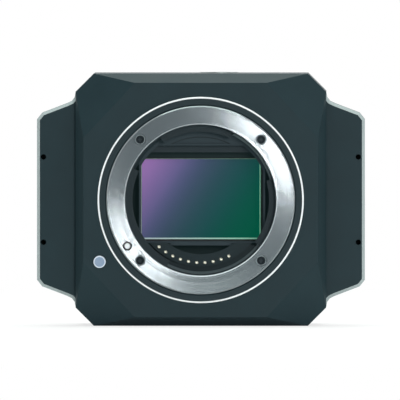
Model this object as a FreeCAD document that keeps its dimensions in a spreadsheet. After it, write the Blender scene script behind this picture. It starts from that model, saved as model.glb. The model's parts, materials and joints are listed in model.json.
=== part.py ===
import FreeCAD, Part
import os
import re

import Sketcher

# Aerial survey camera body, without a lens, as a parametric document in millimetres.
# The origin is the centre of the lens mount's front face. X runs to the right as seen
# from the front, Y runs back into the camera along the optical axis, and Z is up.

Vector = FreeCAD.Vector

doc = FreeCAD.newDocument("survey_camera")
sheet = doc.addObject("Spreadsheet::Sheet", "sizes")

# Driving dimensions. Words that end in _at are places along Y behind the mount face.
DRIVING_SIZES = [
    ("loose_fit", 0.05, "radial clearance of a fixed piece in its hole"),
    ("body_width", 76.4, "housing across its side faces"),
    ("body_height", 76.9, "housing from its flat bottom to its top"),
    ("body_corner", 5.55, "45 degree corner of the housing"),
    ("bevel_run_x", 2.5, "front bevel across a side"),
    ("bevel_run_z", 2.75, "front bevel across the top and bottom"),
    ("face_corner_x", 15.6, "corner of the front face, along X"),
    ("face_corner_z", 16.7, "corner of the front face, along Z"),
    ("face_at", 1.5, "flat front face"),
    ("bevel_depth", 5.0, "depth of the bevelled front"),
    ("rear_room", 2.0, "connector board to the housing's rear rim"),
    ("side_wall", 2.4, "housing side wall"),
    ("cavity_corner", 11.0, "45 degree corner of the cavity, solid for the cover screws"),
    ("front_wall", 3.0, "housing wall behind the mount"),
    ("overall_width", 100.0, "across the two ears"),
    ("ear_shoulder", 13.95, "straight outer edge of an ear, below the housing's top"),
    ("ear_nose", 1.6, "width of the small outer corner of an ear"),
    ("ear_nose_height", 2.0, "height of the small outer corner of an ear"),
    ("ear_root_out", 2.6, "where an ear's slope meets its root fillet, out from the housing"),
    ("ear_root_up", 4.9, "where an ear's slope meets its root fillet, above the straight edge"),
    ("ear_root_rise", 3.5, "height of the root fillet"),
    ("ear_at", 8.0, "front plane of the ears"),
    ("ear_thickness", 8.0, "ear from front to back"),
    ("ear_chamfer", 0.9, "chamfer round the front of an ear"),
    ("ear_hole_inset", 2.0, "ear hole from the ear's outer edge"),
    ("ear_hole_spacing_z", 26.0, "ear holes up and down"),
    ("ear_hole_diameter", 1.65, "tapped hole in an ear"),
    ("ear_hole_depth", 6.0, "tapped hole in an ear, depth"),
    ("throat_diameter", 46.1, "clear bore of the lens mount"),
    ("ring_face", 5.65, "flat face of the metal mount ring, across"),
    ("ring_thickness", 2.2, "flange of the metal mount ring"),
    ("ring_edge", 0.35, "chamfer on the edges of the mount ring"),
    ("spigot_wall", 1.35, "wall of the locating spigot behind the mount ring"),
    ("spigot_length", 0.8, "length of that spigot"),
    ("bezel_width", 2.15, "black ring round the metal ring"),
    ("bezel_at", 0.6, "front of the black ring"),
    ("trim_width", 0.55, "pale trim ring"),
    ("trim_edge", 0.15, "chamfer on the front of the trim ring"),
    ("trim_at", 0.9, "front of the pale trim ring"),
    ("mount_screw_out", 3.0, "mount screws, out from the throat"),
    ("mount_screw_head", 2.95, "mount screw head"),
    ("mount_screw_recess", 3.35, "recess for a mount screw head"),
    ("mount_screw_sink", 0.25, "mount screw head below the mount face"),
    ("mount_screw_head_depth", 0.9, "countersunk head from its top to its shank"),
    ("screw_shank", 2.0, "shank of every small screw"),
    ("screw_slot", 0.45, "width of a cross recess arm"),
    ("screw_cross", 0.6, "reach of a cross recess arm"),
    ("screw_cross_depth", 0.55, "depth of a cross recess"),
    ("screw_rim", 0.12, "straight rim of a countersunk head"),
    ("claw_reach", 2.25, "bayonet claws inside the throat"),
    ("claw_gap_step", 0.45, "ring between the claws inside the throat"),
    ("claw_flange_step", 0.7, "rear flange of the claw ring inside the metal ring"),
    ("claw_flange", 1.0, "thickness of that flange"),
    ("claw_lip", 0.7, "45 degree lip round the back of that flange"),
    ("leaf_thickness", 0.25, "bayonet leaf spring"),
    ("leaf_width", 1.3, "bayonet leaf spring, across"),
    ("button_edge", 7.4, "lens release button from the housing's side face"),
    ("button_out", 4.7, "lens release button out from the trim ring"),
    ("button_diameter", 3.7, "lens release button"),
    ("button_proud", 1.3, "release button ahead of the front face"),
    ("button_body", 2.6, "thick part of the release button"),
    ("lock_angle", 212.1, "lens lock pin round the mount"),
    ("lock_out", 3.28, "lens lock pin out from the throat"),
    ("lock_diameter", 1.7, "lens lock pin"),
    ("lock_hole", 2.4, "hole for the lock pin in the mount ring"),
    ("lock_proud", 0.9, "lock pin ahead of the mount face"),
    ("lock_tip", 0.3, "chamfer on the tip of the lock pin"),
    ("stem_diameter", 1.6, "stem of the release button"),
    ("release_travel", 1.5, "stroke of the release button and lock pin"),
    ("running_fit", 0.1, "radial clearance of a piece that slides or turns"),
    ("release_plate_thickness", 0.8, "plate that joins button and lock pin"),
    ("release_plate_end", 1.65, "rounded end of that plate, radius"),
    ("coil_wire", 0.25, "wire of the two release springs"),
    ("coil_radius", 1.2, "mean radius of the release springs"),
    ("coil_turns", 5.0, "turns of a release spring"),
    ("baffle_gap", 0.2, "light baffle behind the claw ring"),
    ("baffle_sheet", 0.8, "front sheet of the light baffle"),
    ("baffle_wall", 0.55, "side wall of the light baffle"),
    ("baffle_overlap", 1.0, "round front sheet of the light baffle behind the claw ring"),
    ("baffle_window_left", 18.3, "front window of the light baffle, left of the axis"),
    ("baffle_window_right", 19.05, "front window of the light baffle, right of the axis"),
    ("baffle_window_top", 16.5, "front window of the light baffle, top"),
    ("baffle_window_bottom", 12.7, "front window of the light baffle, below the axis"),
    ("baffle_mouth_step", 0.15, "round that cuts the front window's corners, outside the claws"),
    ("baffle_step", 2.0, "depth of the baffle's stepped ledge behind its front"),
    ("baffle_inner_top", 14.4, "underside of the baffle's upper ledge"),
    ("baffle_tongue_width", 18.6, "lower tongue of the baffle"),
    ("baffle_tongue_bottom", 13.95, "lower edge of that tongue, below the axis"),
    ("baffle_arch_width", 17.6, "arched recess in the baffle's front sheet"),
    ("baffle_arch_low", 17.0, "foot of the arched recess"),
    ("baffle_arch_high", 19.1, "crown of the arched recess"),
    ("baffle_arch_depth", 0.4, "depth of the arched recess"),
    ("contact_inset", 3.85, "circle of the contacts inside the throat"),
    ("contact_count", 10.0, "number of contacts"),
    ("contact_first_angle", 228.5, "angle of the first contact"),
    ("contact_pitch_angle", 7.54, "angle from contact to contact"),
    ("contact_diameter", 0.65, "contact pin"),
    ("contact_shoulder", 0.95, "shoulder of a contact pin"),
    ("contact_proud", 0.6, "contact pin ahead of its carrier"),
    ("contact_travel", 0.5, "stroke of the contact pins"),
    ("carrier_edge", 1.8, "contact carrier inside the circle of its contacts"),
    ("carrier_claw_gap", 0.4, "carrier's nose inside the claws"),
    ("carrier_flange_step", 1.0, "contact carrier inside the claw ring's flange"),
    ("carrier_nose_length", 0.8, "contact carrier's nose ahead of its seat"),
    ("carrier_nose_step", 0.8, "contact carrier's nose inside its seat"),
    ("carrier_nose_top", 13.2, "level top of the carrier's nose, below the axis"),
    ("carrier_depth", 2.4, "contact carrier behind the claw ring"),
    ("carrier_lead_angle", 7.0, "angle of carrier before its first contact"),
    ("carrier_tail_angle", 25.0, "angle of carrier past its last contact"),
    ("carrier_top", 13.7, "level top of the carrier's seat, below the axis"),
    ("flex_thickness", 0.15, "flexible circuit"),
    ("flex_inset", 1.0, "flexible circuit inside the carrier's outer edge"),
    ("flex_step", 0.4, "flexible circuit outside the carrier's inner edge"),
    ("stack_inset_x", 10.4, "chassis posts inside the shutter's side edges"),
    ("stack_inset_z", 2.9, "chassis posts inside the shutter's top and bottom"),
    ("post_diameter", 5.0, "chassis post on the housing"),
    ("thread_depth", 4.5, "tapped hole in a chassis post"),
    ("shutter_room", 6.4, "space between the housing's front wall and the shutter"),
    ("shutter_plate", 0.4, "shutter base and cover plates"),
    ("shutter_middle", 0.2, "plate between the two curtains"),
    ("shutter_gap", 0.4, "shutter plates to the housing's side walls"),
    ("shutter_height", 55.2, "shutter plates, height"),
    ("shutter_corner_gap", 2.85, "shutter plates to the housing's solid corners"),
    ("aperture_margin", 0.35, "shutter's opening beyond the filter glass"),
    ("arm_thickness", 0.2, "curtain arm"),
    ("blade_thickness", 0.1, "curtain blade"),
    ("layer_gap", 0.1, "space between layers of the shutter"),
    ("pivot_inset", 2.4, "curtain pivots inside the shutter's left edge"),
    ("drive_pivot_z", 3.0, "drive arm pivot above the axis"),
    ("guide_pivot_z", 9.0, "guide arm pivot above the axis"),
    ("pivot_diameter", 1.5, "pivot post of an arm"),
    ("arm_width", 2.2, "curtain arm across"),
    ("arm_swing", 110.0, "turn of the arms from open to closed"),
    ("rivet_diameter", 0.8, "rivet between a blade and an arm"),
    ("lead_rivet_reach", 15.9, "lead blade's rivet from the pivot"),
    ("middle_rivet_reach", 10.6, "middle blade's rivet from the pivot"),
    ("near_rivet_reach", 5.6, "last blade's rivet from the pivot"),
    ("blade_height", 9.3, "curtain blade"),
    ("blade_stack_z", 17.6, "centre of the stacked blades above the axis"),
    ("blade_reach", 20.0, "right end of a stacked blade"),
    ("blade_margin", 1.3, "blade past its rivets"),
    ("motor_diameter", 5.2, "shutter cocking motor"),
    ("motor_inset", 3.8, "shutter cocking motor inside the shutter's right edge"),
    ("motor_length", 16.0, "shutter cocking motor"),
    ("motor_boss", 1.0, "bearing boss of the motor"),
    ("motor_shaft", 3.0, "shaft of the motor past its boss"),
    ("pinion_gap", 0.5, "pinion above the motor's boss"),
    ("pinion_width", 2.0, "pinion on the motor's shaft"),
    ("sensor_frame_depth", 2.2, "sensor mounting frame"),
    ("sensor_lip", 0.8, "lip of the sensor frame behind the filter glass"),
    ("glass_width", 36.7, "filter glass, across"),
    ("glass_height", 24.85, "filter glass, height"),
    ("glass_rest", 0.25, "edge of the filter glass that rests on that lip"),
    ("glass_thickness", 1.2, "filter glass"),
    ("glass_bevel", 0.2, "ground bevel round the front of the filter glass"),
    ("glass_corner", 0.5, "corner of the filter glass"),
    ("chip_sink", 1.2, "image plane behind the sensor frame"),
    ("package_width", 46.0, "image sensor package"),
    ("package_height", 34.0, "image sensor package"),
    ("package_depth", 2.8, "image sensor package"),
    ("die_width", 37.6, "image sensor chip"),
    ("die_height", 26.2, "image sensor chip"),
    ("die_thickness", 0.5, "image sensor chip"),
    ("die_gap", 0.6, "chip to the walls of its package"),
    ("package_corner", 1.0, "corner of the image sensor package"),
    ("board_thickness", 1.2, "circuit board"),
    ("sensor_board_width", 53.0, "sensor board"),
    ("sensor_board_height", 40.0, "sensor board"),
    ("sensor_board_corner", 2.0, "corner of the sensor board"),
    ("sensor_screw_head", 0.6, "head of a sensor board screw, depth"),
    ("sensor_screw_x", 24.6, "sensor board screws either side of the axis"),
    ("sensor_screw_z", 14.0, "sensor board screws above and below the axis"),
    ("pad_thickness", 1.0, "thermal pad"),
    ("pad_width", 30.0, "thermal pad"),
    ("pad_height", 22.0, "thermal pad"),
    ("spreader_thickness", 1.5, "heat spreader"),
    ("spreader_gap", 4.8, "heat spreader and sensor frame to the housing's side walls"),
    ("spreader_height", 54.0, "heat spreader"),
    ("spreader_corner", 5.0, "corner of the heat spreader and the sensor frame"),
    ("spacer_diameter", 4.0, "spacer tube between boards"),
    ("board_gap", 2.7, "space between heat spreader and main board"),
    ("board_gap_x", 2.3, "main board to the housing's side walls"),
    ("board_gap_z", 5.05, "main board to the housing's top and bottom walls"),
    ("board_corner", 8.0, "corner of the main board"),
    ("screw_head", 3.6, "head of a chassis or cover screw"),
    ("screw_head_depth", 1.2, "depth of that head"),
    ("chassis_screw_length", 19.0, "chassis screw under its head"),
    ("chip_width", 18.0, "processor chip"),
    ("shield_width", 24.0, "shield can"),
    ("shield_height", 1.9, "shield can above the board"),
    ("shield_sheet", 0.2, "sheet of the shield can"),
    ("shield_x", 13.5, "centre of the shield can, along X"),
    ("slot_width", 25.2, "card slot, height along Z"),
    ("slot_rise", 16.5, "middle of the card slot above the connector board's upper screws"),
    ("slot_depth", 2.6, "card slot, front to back"),
    ("socket_length", 28.0, "card socket"),
    ("socket_wall", 0.4, "card socket sheet"),
    ("socket_gap", 0.2, "card socket to the connector board"),
    ("io_gap_x", 2.8, "connector board to the housing's side walls"),
    ("io_gap_z", 2.55, "connector board to the housing's bottom wall"),
    ("io_board_height", 27.0, "connector board"),
    ("io_screw_inset", 3.0, "connector board screws from its side edges"),
    ("io_screw_low", 9.5, "lower connector board screws above its bottom edge"),
    ("io_screw_pitch", 7.5, "connector board screws, lower to upper"),
    ("gasket_thickness", 0.4, "seal between housing and rear cover"),
    ("gasket_inset", 0.3, "seal inside the housing's side faces"),
    ("cover_thickness", 3.6, "rear cover plate"),
    ("cover_wall", 2.0, "outer skin of the rear cover"),
    ("cover_screw_inset", 5.4, "cover screws from the housing's faces"),
    ("cover_screw_length", 7.5, "cover screw under its head"),
    ("cover_head_sink", 1.5, "counterbore for a cover screw head"),
    ("fin_height", 4.5, "cooling fin"),
    ("fin_thickness", 1.6, "cooling fin"),
    ("fin_screw_gap", 4.8, "outermost cooling fins from the cover screws"),
    ("fin_count", 11.0, "number of cooling fins"),
    ("fin_rise", 8.0, "foot of the cooling fins above the power button"),
    ("fin_inset", 4.95, "top of the cooling fins below the housing's top"),
    ("port_rise", 13.5, "row of connectors above the connector board's bottom edge"),
    ("port_clearance", 0.25, "gap round a connector in the rear cover"),
    ("usb_inset", 8.0, "data connector from the connector board's screws"),
    ("usb_width", 8.9, "data connector"),
    ("usb_height", 3.2, "data connector"),
    ("video_x", 7.0, "video connector, left of the axis"),
    ("video_width", 6.5, "video connector"),
    ("video_height", 2.9, "video connector"),
    ("trigger_x", 8.0, "trigger connector, right of the axis"),
    ("trigger_width", 10.5, "trigger connector"),
    ("trigger_height", 5.0, "trigger connector"),
    ("power_inset", 7.0, "power connector from the connector board's screws"),
    ("power_width", 9.0, "power connector"),
    ("power_height", 6.5, "power connector"),
    ("socket_shell", 0.4, "wall of a connector shell"),
    ("socket_floor", 1.2, "floor of a connector"),
    ("tongue_sink", 0.8, "contact tongue of a connector behind its mouth"),
    ("tongue_thickness", 0.7, "contact tongue of a connector"),
    ("switch_inset", 3.0, "power button from the connector board's screws"),
    ("switch_rise", 22.5, "power button above the connector board's bottom edge"),
    ("switch_diameter", 6.0, "power button"),
    ("switch_flange", 7.2, "flange of the power button"),
    ("switch_flange_thickness", 0.7, "thickness of that flange"),
    ("switch_proud", 0.6, "power button behind the cover"),
    ("switch_travel", 0.5, "stroke of the power button"),
    ("switch_body", 2.2, "push switch under the power button"),
    ("switch_plunger", 0.6, "plunger of the push switch above its case"),
    ("switch_edge", 0.3, "chamfer on the power button"),
    ("light_step", 7.5, "status light beside the power button"),
    ("light_diameter", 2.0, "status light pipe"),
    ("light_proud", 0.1, "status light pipe behind the cover"),
    ("insert_x", 5.5, "tripod thread insert, right of the axis"),
    ("insert_at", 20.0, "tripod thread insert, behind the mount face"),
    ("insert_flange", 11.6, "flange of the thread insert"),
    ("insert_proud", 0.3, "flange above the housing's top"),
    ("insert_body", 9.0, "body of the thread insert"),
    ("insert_length", 5.8, "thread insert below the housing's top"),
    ("insert_thread", 6.35, "tripod thread"),
    ("insert_thread_depth", 5.0, "tripod thread, depth"),
]

# Sizes that follow from the driving ones.
FOLLOWING_SIZES = [
    ("face_width", "body_width-2*bevel_run_x"),
    ("face_height", "body_height-2*bevel_run_z"),
    ("cavity_width", "body_width-2*side_wall"),
    ("cavity_height", "body_height-2*side_wall"),
    ("ear_straight", "body_height-2*ear_shoulder"),
    ("ear_root_x", "body_width/2+ear_root_out"),
    ("ear_root_z", "ear_straight/2+ear_root_up"),
    ("ear_top", "ear_root_z+ear_root_rise"),
    ("ear_hole_spacing_x", "overall_width-2*ear_hole_inset"),
    ("ring_diameter", "throat_diameter+2*ring_face"),
    ("spigot_diameter", "throat_diameter+2*spigot_wall"),
    ("bezel_diameter", "ring_diameter+2*bezel_width"),
    ("trim_diameter", "bezel_diameter+2*trim_width"),
    ("mount_screw_spacing", "(throat_diameter/2+mount_screw_out)*sqrt(2)"),
    ("claw_inner_diameter", "throat_diameter-2*claw_reach"),
    ("claw_gap_diameter", "throat_diameter-2*claw_gap_step"),
    ("claw_flange_diameter", "ring_diameter-2*claw_flange_step"),
    ("button_x", "button_edge-body_width/2"),
    ("button_z", "-sqrt((trim_diameter/2+button_out)^2-button_x^2)"),
    ("lock_x", "(throat_diameter/2+lock_out)*cos(lock_angle)"),
    ("lock_z", "(throat_diameter/2+lock_out)*sin(lock_angle)"),
    ("wall_back", "ring_thickness+front_wall"),
    ("carrier_at", "wall_back+claw_flange"),
    ("carrier_nose_at", "carrier_at-carrier_nose_length"),
    ("baffle_at", "carrier_at+baffle_gap"),
    ("contact_radius", "throat_diameter/2-contact_inset"),
    ("carrier_inner", "contact_radius-carrier_edge"),
    ("carrier_nose", "claw_inner_diameter/2-carrier_claw_gap"),
    ("carrier_outer", "claw_flange_diameter/2-carrier_flange_step"),
    ("aperture_width", "glass_width+2*aperture_margin"),
    ("aperture_height", "glass_height+2*aperture_margin"),
    ("shutter_at", "wall_back+shutter_room"),
    ("shutter_width", "cavity_width-2*shutter_gap"),
    ("shutter_corner", "(shutter_width+shutter_height-cavity_width-cavity_height)/2"
                       "+cavity_corner+shutter_corner_gap"),
    ("stack_spacing_x", "shutter_width-2*stack_inset_x"),
    ("stack_spacing_z", "shutter_height-2*stack_inset_z"),
    ("pivot_x", "shutter_width/2-pivot_inset"),
    ("motor_x", "shutter_width/2-motor_inset"),
    ("spreader_width", "cavity_width-2*spreader_gap"),
    ("board_width", "cavity_width-2*board_gap_x"),
    ("board_height", "cavity_height-2*board_gap_z"),
    ("io_gap", "slot_depth+2*socket_wall+socket_gap"),
    ("io_board_width", "cavity_width-2*io_gap_x"),
    ("io_board_bottom", "cavity_height/2-io_gap_z"),
    ("io_board_top", "io_board_bottom-io_board_height"),
    ("io_screw_x", "io_board_width/2-io_screw_inset"),
    ("io_screw_bottom", "io_board_bottom-io_screw_low"),
    ("io_screw_top", "io_screw_bottom-io_screw_pitch"),
    ("slot_z", "slot_rise-io_screw_top"),
    ("cover_screw_spacing_x", "body_width-2*cover_screw_inset"),
    ("cover_screw_spacing_z", "body_height-2*cover_screw_inset"),
    ("port_z", "io_board_bottom-port_rise"),
    ("usb_x", "io_screw_x-usb_inset"),
    ("power_x", "io_screw_x-power_inset"),
    ("switch_x", "io_screw_x-switch_inset"),
    ("switch_z", "io_board_bottom-switch_rise"),
    ("light_x", "switch_x-light_step"),
    ("fin_bottom", "switch_z-fin_rise"),
    ("fin_top", "body_height/2-fin_inset"),
    ("fin_span", "cover_screw_spacing_x-2*fin_screw_gap"),
]

ALIASES = [row[0] for row in DRIVING_SIZES + FOLLOWING_SIZES]
for row, (alias, value, meaning) in enumerate(DRIVING_SIZES, start=1):
    sheet.set("A%d" % row, alias)
    sheet.set("B%d" % row, repr(value))
    sheet.set("C%d" % row, meaning)
    sheet.setAlias("B%d" % row, alias)
for row, (alias, formula) in enumerate(FOLLOWING_SIZES, start=len(DRIVING_SIZES) + 1):
    sheet.set("A%d" % row, alias)
    sheet.set("B%d" % row, "=" + formula)
    sheet.setAlias("B%d" % row, alias)
doc.recompute()

TOWARDS_BACK = FreeCAD.Rotation(Vector(1, 0, 0), -90)
nodes = {}


def tie(formula):
    """Write a formula of plain alias names as an expression on the sheet."""
    def on_sheet(word):
        return "sizes." + word.group() if word.group() in ALIASES else word.group()
    return re.sub(r"[a-z][a-z_0-9]*", on_sheet, "(" + str(formula) + ")")


def size(formula):
    """Today's value of a formula."""
    return float(sheet.evalExpression(tie(formula)))


def bind(thing, prop, formula):
    thing.setExpression(prop, tie(formula))


def keep(label, thing):
    """Register a finished sub-part under the name of its node."""
    thing.Label = label
    nodes[label] = thing
    return thing


def new_body(name):
    return doc.addObject("PartDesign::Body", name)


def sketch_at(body, name, depth):
    """A sketch parallel to the mount face: x to the right, y up, at a depth along Y."""
    plane = [part for part in body.Origin.OriginFeatures if part.Role == "XZ_Plane"][0]
    sketch = body.newObject("Sketcher::SketchObject", name)
    sketch.AttachmentSupport = [(plane, "")]
    sketch.MapMode = "FlatFace"
    bind(sketch, "AttachmentOffset.Base.z", "-(%s)" % depth)
    return sketch


def side_sketch(body, name):
    """A sketch on the horizontal centre plane: x is the radius, y is the depth."""
    plane = [part for part in body.Origin.OriginFeatures if part.Role == "XY_Plane"][0]
    sketch = body.newObject("Sketcher::SketchObject", name)
    sketch.AttachmentSupport = [(plane, "")]
    sketch.MapMode = "FlatFace"
    return sketch


def place_point(sketch, piece, point, across, up):
    """Tie a sketch point to its two coordinates."""
    for kind, formula, axis in (("DistanceX", across, -2), ("DistanceY", up, -1)):
        if abs(size(formula)) < 1e-9:
            sketch.addConstraint(Sketcher.Constraint("PointOnObject", piece, point, axis))
        else:
            at = sketch.addConstraint(Sketcher.Constraint(kind, -1, 1, piece, point, size(formula)))
            bind(sketch, "Constraints[%d]" % at, formula)


def polygon(sketch, corners):
    """A closed outline through corners given as pairs of formulas."""
    points = [Vector(size(across), size(up), 0) for across, up in corners]
    first = sketch.GeometryCount
    count = len(points)
    for i in range(count):
        sketch.addGeometry(Part.LineSegment(points[i], points[(i + 1) % count]), False)
    for i, (across, up) in enumerate(corners):
        after = first + (i + 1) % count
        sketch.addConstraint(Sketcher.Constraint("Coincident", first + i, 2, after, 1))
        place_point(sketch, first + i, 1, across, up)


def rectangle(sketch, left, right, low, high):
    polygon(sketch, [(left, low), (right, low), (right, high), (left, high)])


def octagon(sketch, width, height, corner_x, corner_z):
    """A rectangle about the axis with its four corners cut off."""
    half_x, half_z = "(%s)/2" % width, "(%s)/2" % height
    near_x = "(%s)/2-(%s)" % (width, corner_x)
    near_z = "(%s)/2-(%s)" % (height, corner_z)
    polygon(sketch, [
        (near_x, "-" + half_z), (half_x, "-(%s)" % near_z),
        (half_x, near_z), (near_x, half_z),
        ("-(%s)" % near_x, half_z), ("-" + half_x, near_z),
        ("-" + half_x, "-(%s)" % near_z), ("-(%s)" % near_x, "-" + half_z)])


def circle(sketch, across, up, diameter):
    centre = Vector(size(across), size(up), 0)
    piece = sketch.addGeometry(Part.Circle(centre, Vector(0, 0, 1), size(diameter) / 2), False)
    place_point(sketch, piece, 3, across, up)
    at = sketch.addConstraint(Sketcher.Constraint("Diameter", piece, size(diameter)))
    bind(sketch, "Constraints[%d]" % at, diameter)


def four_places(spacing_x, spacing_z):
    """Formulas for the corners of a rectangle about the axis."""
    return [("%s(%s)/2" % (sx, spacing_x), "%s(%s)/2" % (sz, spacing_z))
            for sx in ("", "-") for sz in ("", "-")]


def pad(body, sketch, thickness):
    """Add material from the sketch towards the back."""
    feature = body.newObject("PartDesign::Pad", "pad")
    feature.Profile = sketch
    feature.Reversed = True
    bind(feature, "Length", thickness)
    doc.recompute()
    return feature


def pocket(body, sketch, depth):
    """Cut from the sketch towards the back, and see that something was cut."""
    before = body.Shape.Volume
    feature = body.newObject("PartDesign::Pocket", "pocket")
    feature.Profile = sketch
    bind(feature, "Length", depth)
    doc.recompute()
    if not body.Shape.Volume < before:
        raise ValueError("nothing cut by " + sketch.Name)
    return feature


def turned(name, profile):
    """A body turned about the optical axis from (radius, depth) corners."""
    body = new_body(name + "_turned")
    sketch = side_sketch(body, name + "_profile")
    polygon(sketch, profile)
    feature = body.newObject("PartDesign::Revolution", "turn")
    feature.Profile = sketch
    feature.ReferenceAxis = (sketch, ["V_Axis"])
    feature.Angle = 360
    doc.recompute()
    return body


def rod(name, x, z, start, length, radius):
    """A cylinder that points to the back."""
    piece = doc.addObject("Part::Cylinder", name)
    piece.Placement = FreeCAD.Placement(Vector(0, 0, 0), TOWARDS_BACK)
    for prop, formula in (("Placement.Base.x", x), ("Placement.Base.y", start),
                          ("Placement.Base.z", z), ("Height", length), ("Radius", radius)):
        bind(piece, prop, formula)
    return piece


def cone(name, x, z, start, length, front_radius, back_radius):
    """A cone that points to the back."""
    piece = doc.addObject("Part::Cone", name)
    piece.Placement = FreeCAD.Placement(Vector(0, 0, 0), TOWARDS_BACK)
    for prop, formula in (("Placement.Base.x", x), ("Placement.Base.y", start),
                          ("Placement.Base.z", z), ("Height", length),
                          ("Radius1", front_radius), ("Radius2", back_radius)):
        bind(piece, prop, formula)
    return piece


def sector(name, start, length, radius, first_angle, last_angle):
    """A pie slice about the optical axis, between two angles from +X towards +Z."""
    piece = rod(name, "0", "0", start, length, radius)
    bind(piece, "Angle", "(%s)-(%s)" % (last_angle, first_angle))
    turn = FreeCAD.Rotation(Vector(0, 1, 0), -size(last_angle))
    piece.Placement = FreeCAD.Placement(piece.Placement.Base, turn * TOWARDS_BACK)
    return piece


def block(name, left, right, front, back, low, high):
    """A box between three pairs of formulas."""
    piece = doc.addObject("Part::Box", name)
    for prop, formula in (("Placement.Base.x", left), ("Placement.Base.y", front),
                          ("Placement.Base.z", low),
                          ("Length", "(%s)-(%s)" % (right, left)),
                          ("Width", "(%s)-(%s)" % (back, front)),
                          ("Height", "(%s)-(%s)" % (high, low))):
        bind(piece, prop, formula)
    return piece


def fuse(name, pieces):
    whole = doc.addObject("Part::MultiFuse", name)
    whole.Shapes = pieces
    return whole


def cut(name, base, tool):
    rest = doc.addObject("Part::Cut", name)
    rest.Base = base
    rest.Tool = tool
    return rest


def common(name, base, tool):
    """What two pieces share."""
    shared = doc.addObject("Part::Common", name)
    shared.Base = base
    shared.Tool = tool
    return shared


def group(name, pieces):
    """Separate solids in one node."""
    bundle = doc.addObject("Part::Compound", name)
    bundle.Links = pieces
    return bundle


def mirrored(name, source, normal):
    image = doc.addObject("Part::Mirroring", name)
    image.Source = source
    image.Normal = normal
    return image


def pair_across(name, source):
    return group(name, [source, mirrored(name + "_image", source, Vector(1, 0, 0))])


def all_four(name, source):
    """A piece and its images across the two centre planes."""
    pair = pair_across(name + "_pair", source)
    return group(name, [pair, mirrored(name + "_lower", pair, Vector(0, 0, 1))])


def cap_screw(name, x, z, head_at, length):
    """A small screw seen from behind: its head sits at head_at, its shank runs forward."""
    shank = rod(name + "_shank", x, z, "(%s)-(%s)" % (head_at, length), length, "screw_shank/2")
    head = rod(name + "_head", x, z, head_at, "screw_head_depth", "screw_head/2")
    drive = doc.addObject("Part::Prism", name + "_drive")
    drive.Polygon = 6
    drive.Placement = FreeCAD.Placement(Vector(0, 0, 0), TOWARDS_BACK)
    bind(drive, "Placement.Base.x", x)
    bind(drive, "Placement.Base.z", z)
    bind(drive, "Placement.Base.y", "(%s)+screw_head_depth/3" % head_at)
    bind(drive, "Height", "screw_head_depth")
    bind(drive, "Circumradius", "screw_head/4")
    return cut(name, fuse(name + "_solid", [shank, head]), drive)


# Places along Y from the front to the back, and fits that several pieces share.
CLEAR_HOLE = "screw_shank+2*loose_fit"
SEAT_HOLE = "spigot_diameter/2+loose_fit"
CLAW_AT = "(ring_thickness+spigot_length)"
RELEASE_AT = "(carrier_at+2*running_fit)"
BUTTON_AT = "(face_at-button_proud)"
SPRING_AT = "(%s+release_plate_thickness)" % RELEASE_AT
CARRIER_BACK = "(carrier_at+carrier_depth)"
PIN_BACK = "(%s-contact_travel-running_fit)" % CARRIER_BACK
SHOULDER_AT = "(%s-contact_travel)" % PIN_BACK
ARM_LAYER = "(shutter_plate+layer_gap)"
BLADE_STEP = "(blade_thickness+layer_gap)"
SHUTTER_DEPTH = "(2*shutter_plate+shutter_middle+2*arm_thickness+6*blade_thickness+10*layer_gap)"
SHUTTER_BACK = "(shutter_at+%s)" % SHUTTER_DEPTH
MIDDLE_AT = "(shutter_at+%s+arm_thickness+layer_gap+3*%s)" % (ARM_LAYER, BLADE_STEP)
FRAME_BACK = "(%s+sensor_frame_depth)" % SHUTTER_BACK
IMAGE_PLANE = "(%s+chip_sink)" % FRAME_BACK
PACKAGE_BACK = "(%s+package_depth)" % FRAME_BACK
SENSOR_BOARD_BACK = "(%s+board_thickness)" % PACKAGE_BACK
SPREADER_AT = "(%s+pad_thickness)" % SENSOR_BOARD_BACK
SPREADER_BACK = "(%s+spreader_thickness)" % SPREADER_AT
MAIN_AT = "(%s+board_gap)" % SPREADER_BACK
MAIN_BACK = "(%s+board_thickness)" % MAIN_AT
CARD_AT = "(%s+socket_wall)" % MAIN_BACK
IO_AT = "(%s+io_gap)" % MAIN_BACK
IO_BACK = "(%s+board_thickness)" % IO_AT
SWITCH_TOP = "(%s+switch_body)" % IO_BACK
BUTTON_FOOT = "(%s+switch_travel+running_fit)" % SWITCH_TOP
RIM_AT = "(%s+rear_room)" % IO_BACK
COVER_AT = "(%s+gasket_thickness)" % RIM_AT
COVER_BACK = "(%s+cover_thickness)" % COVER_AT
GLASS_BACK = "(%s-sensor_lip)" % FRAME_BACK
GLASS_AT = "(%s-glass_thickness)" % GLASS_BACK
STACK = four_places("stack_spacing_x", "stack_spacing_z")
COVER_SCREWS = four_places("cover_screw_spacing_x", "cover_screw_spacing_z")
SENSOR_SCREWS = four_places("2*sensor_screw_x", "2*sensor_screw_z")
PIVOTS = [("-pivot_x", sign + height) for sign in ("", "-") for height in ("drive_pivot_z", "guide_pivot_z")]


def ear_outline(side):
    """One ear, from its nose in to the root fillet, closed inside the housing."""
    half, nose_z = "overall_width/2", "ear_straight/2"
    inside = "body_width/2-side_wall"
    swell_x, swell_z = "body_width/2+0.45*(ear_root_x-body_width/2)", "ear_root_z+0.2*(ear_top-ear_root_z)"
    rise_x, rise_z = "body_width/2+0.12*(ear_root_x-body_width/2)", "ear_root_z+0.52*(ear_top-ear_root_z)"
    upper = [(half, nose_z), (half + "-ear_nose", nose_z + "+ear_nose_height"),
             ("ear_root_x", "ear_root_z"), (swell_x, swell_z), (rise_x, rise_z),
             ("body_width/2", "ear_top"), (inside, "ear_top")]
    lower = [(x, "-(%s)" % z) for x, z in reversed(upper)]
    return [("%s(%s)" % (side, x), z) for x, z in upper + lower]


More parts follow.
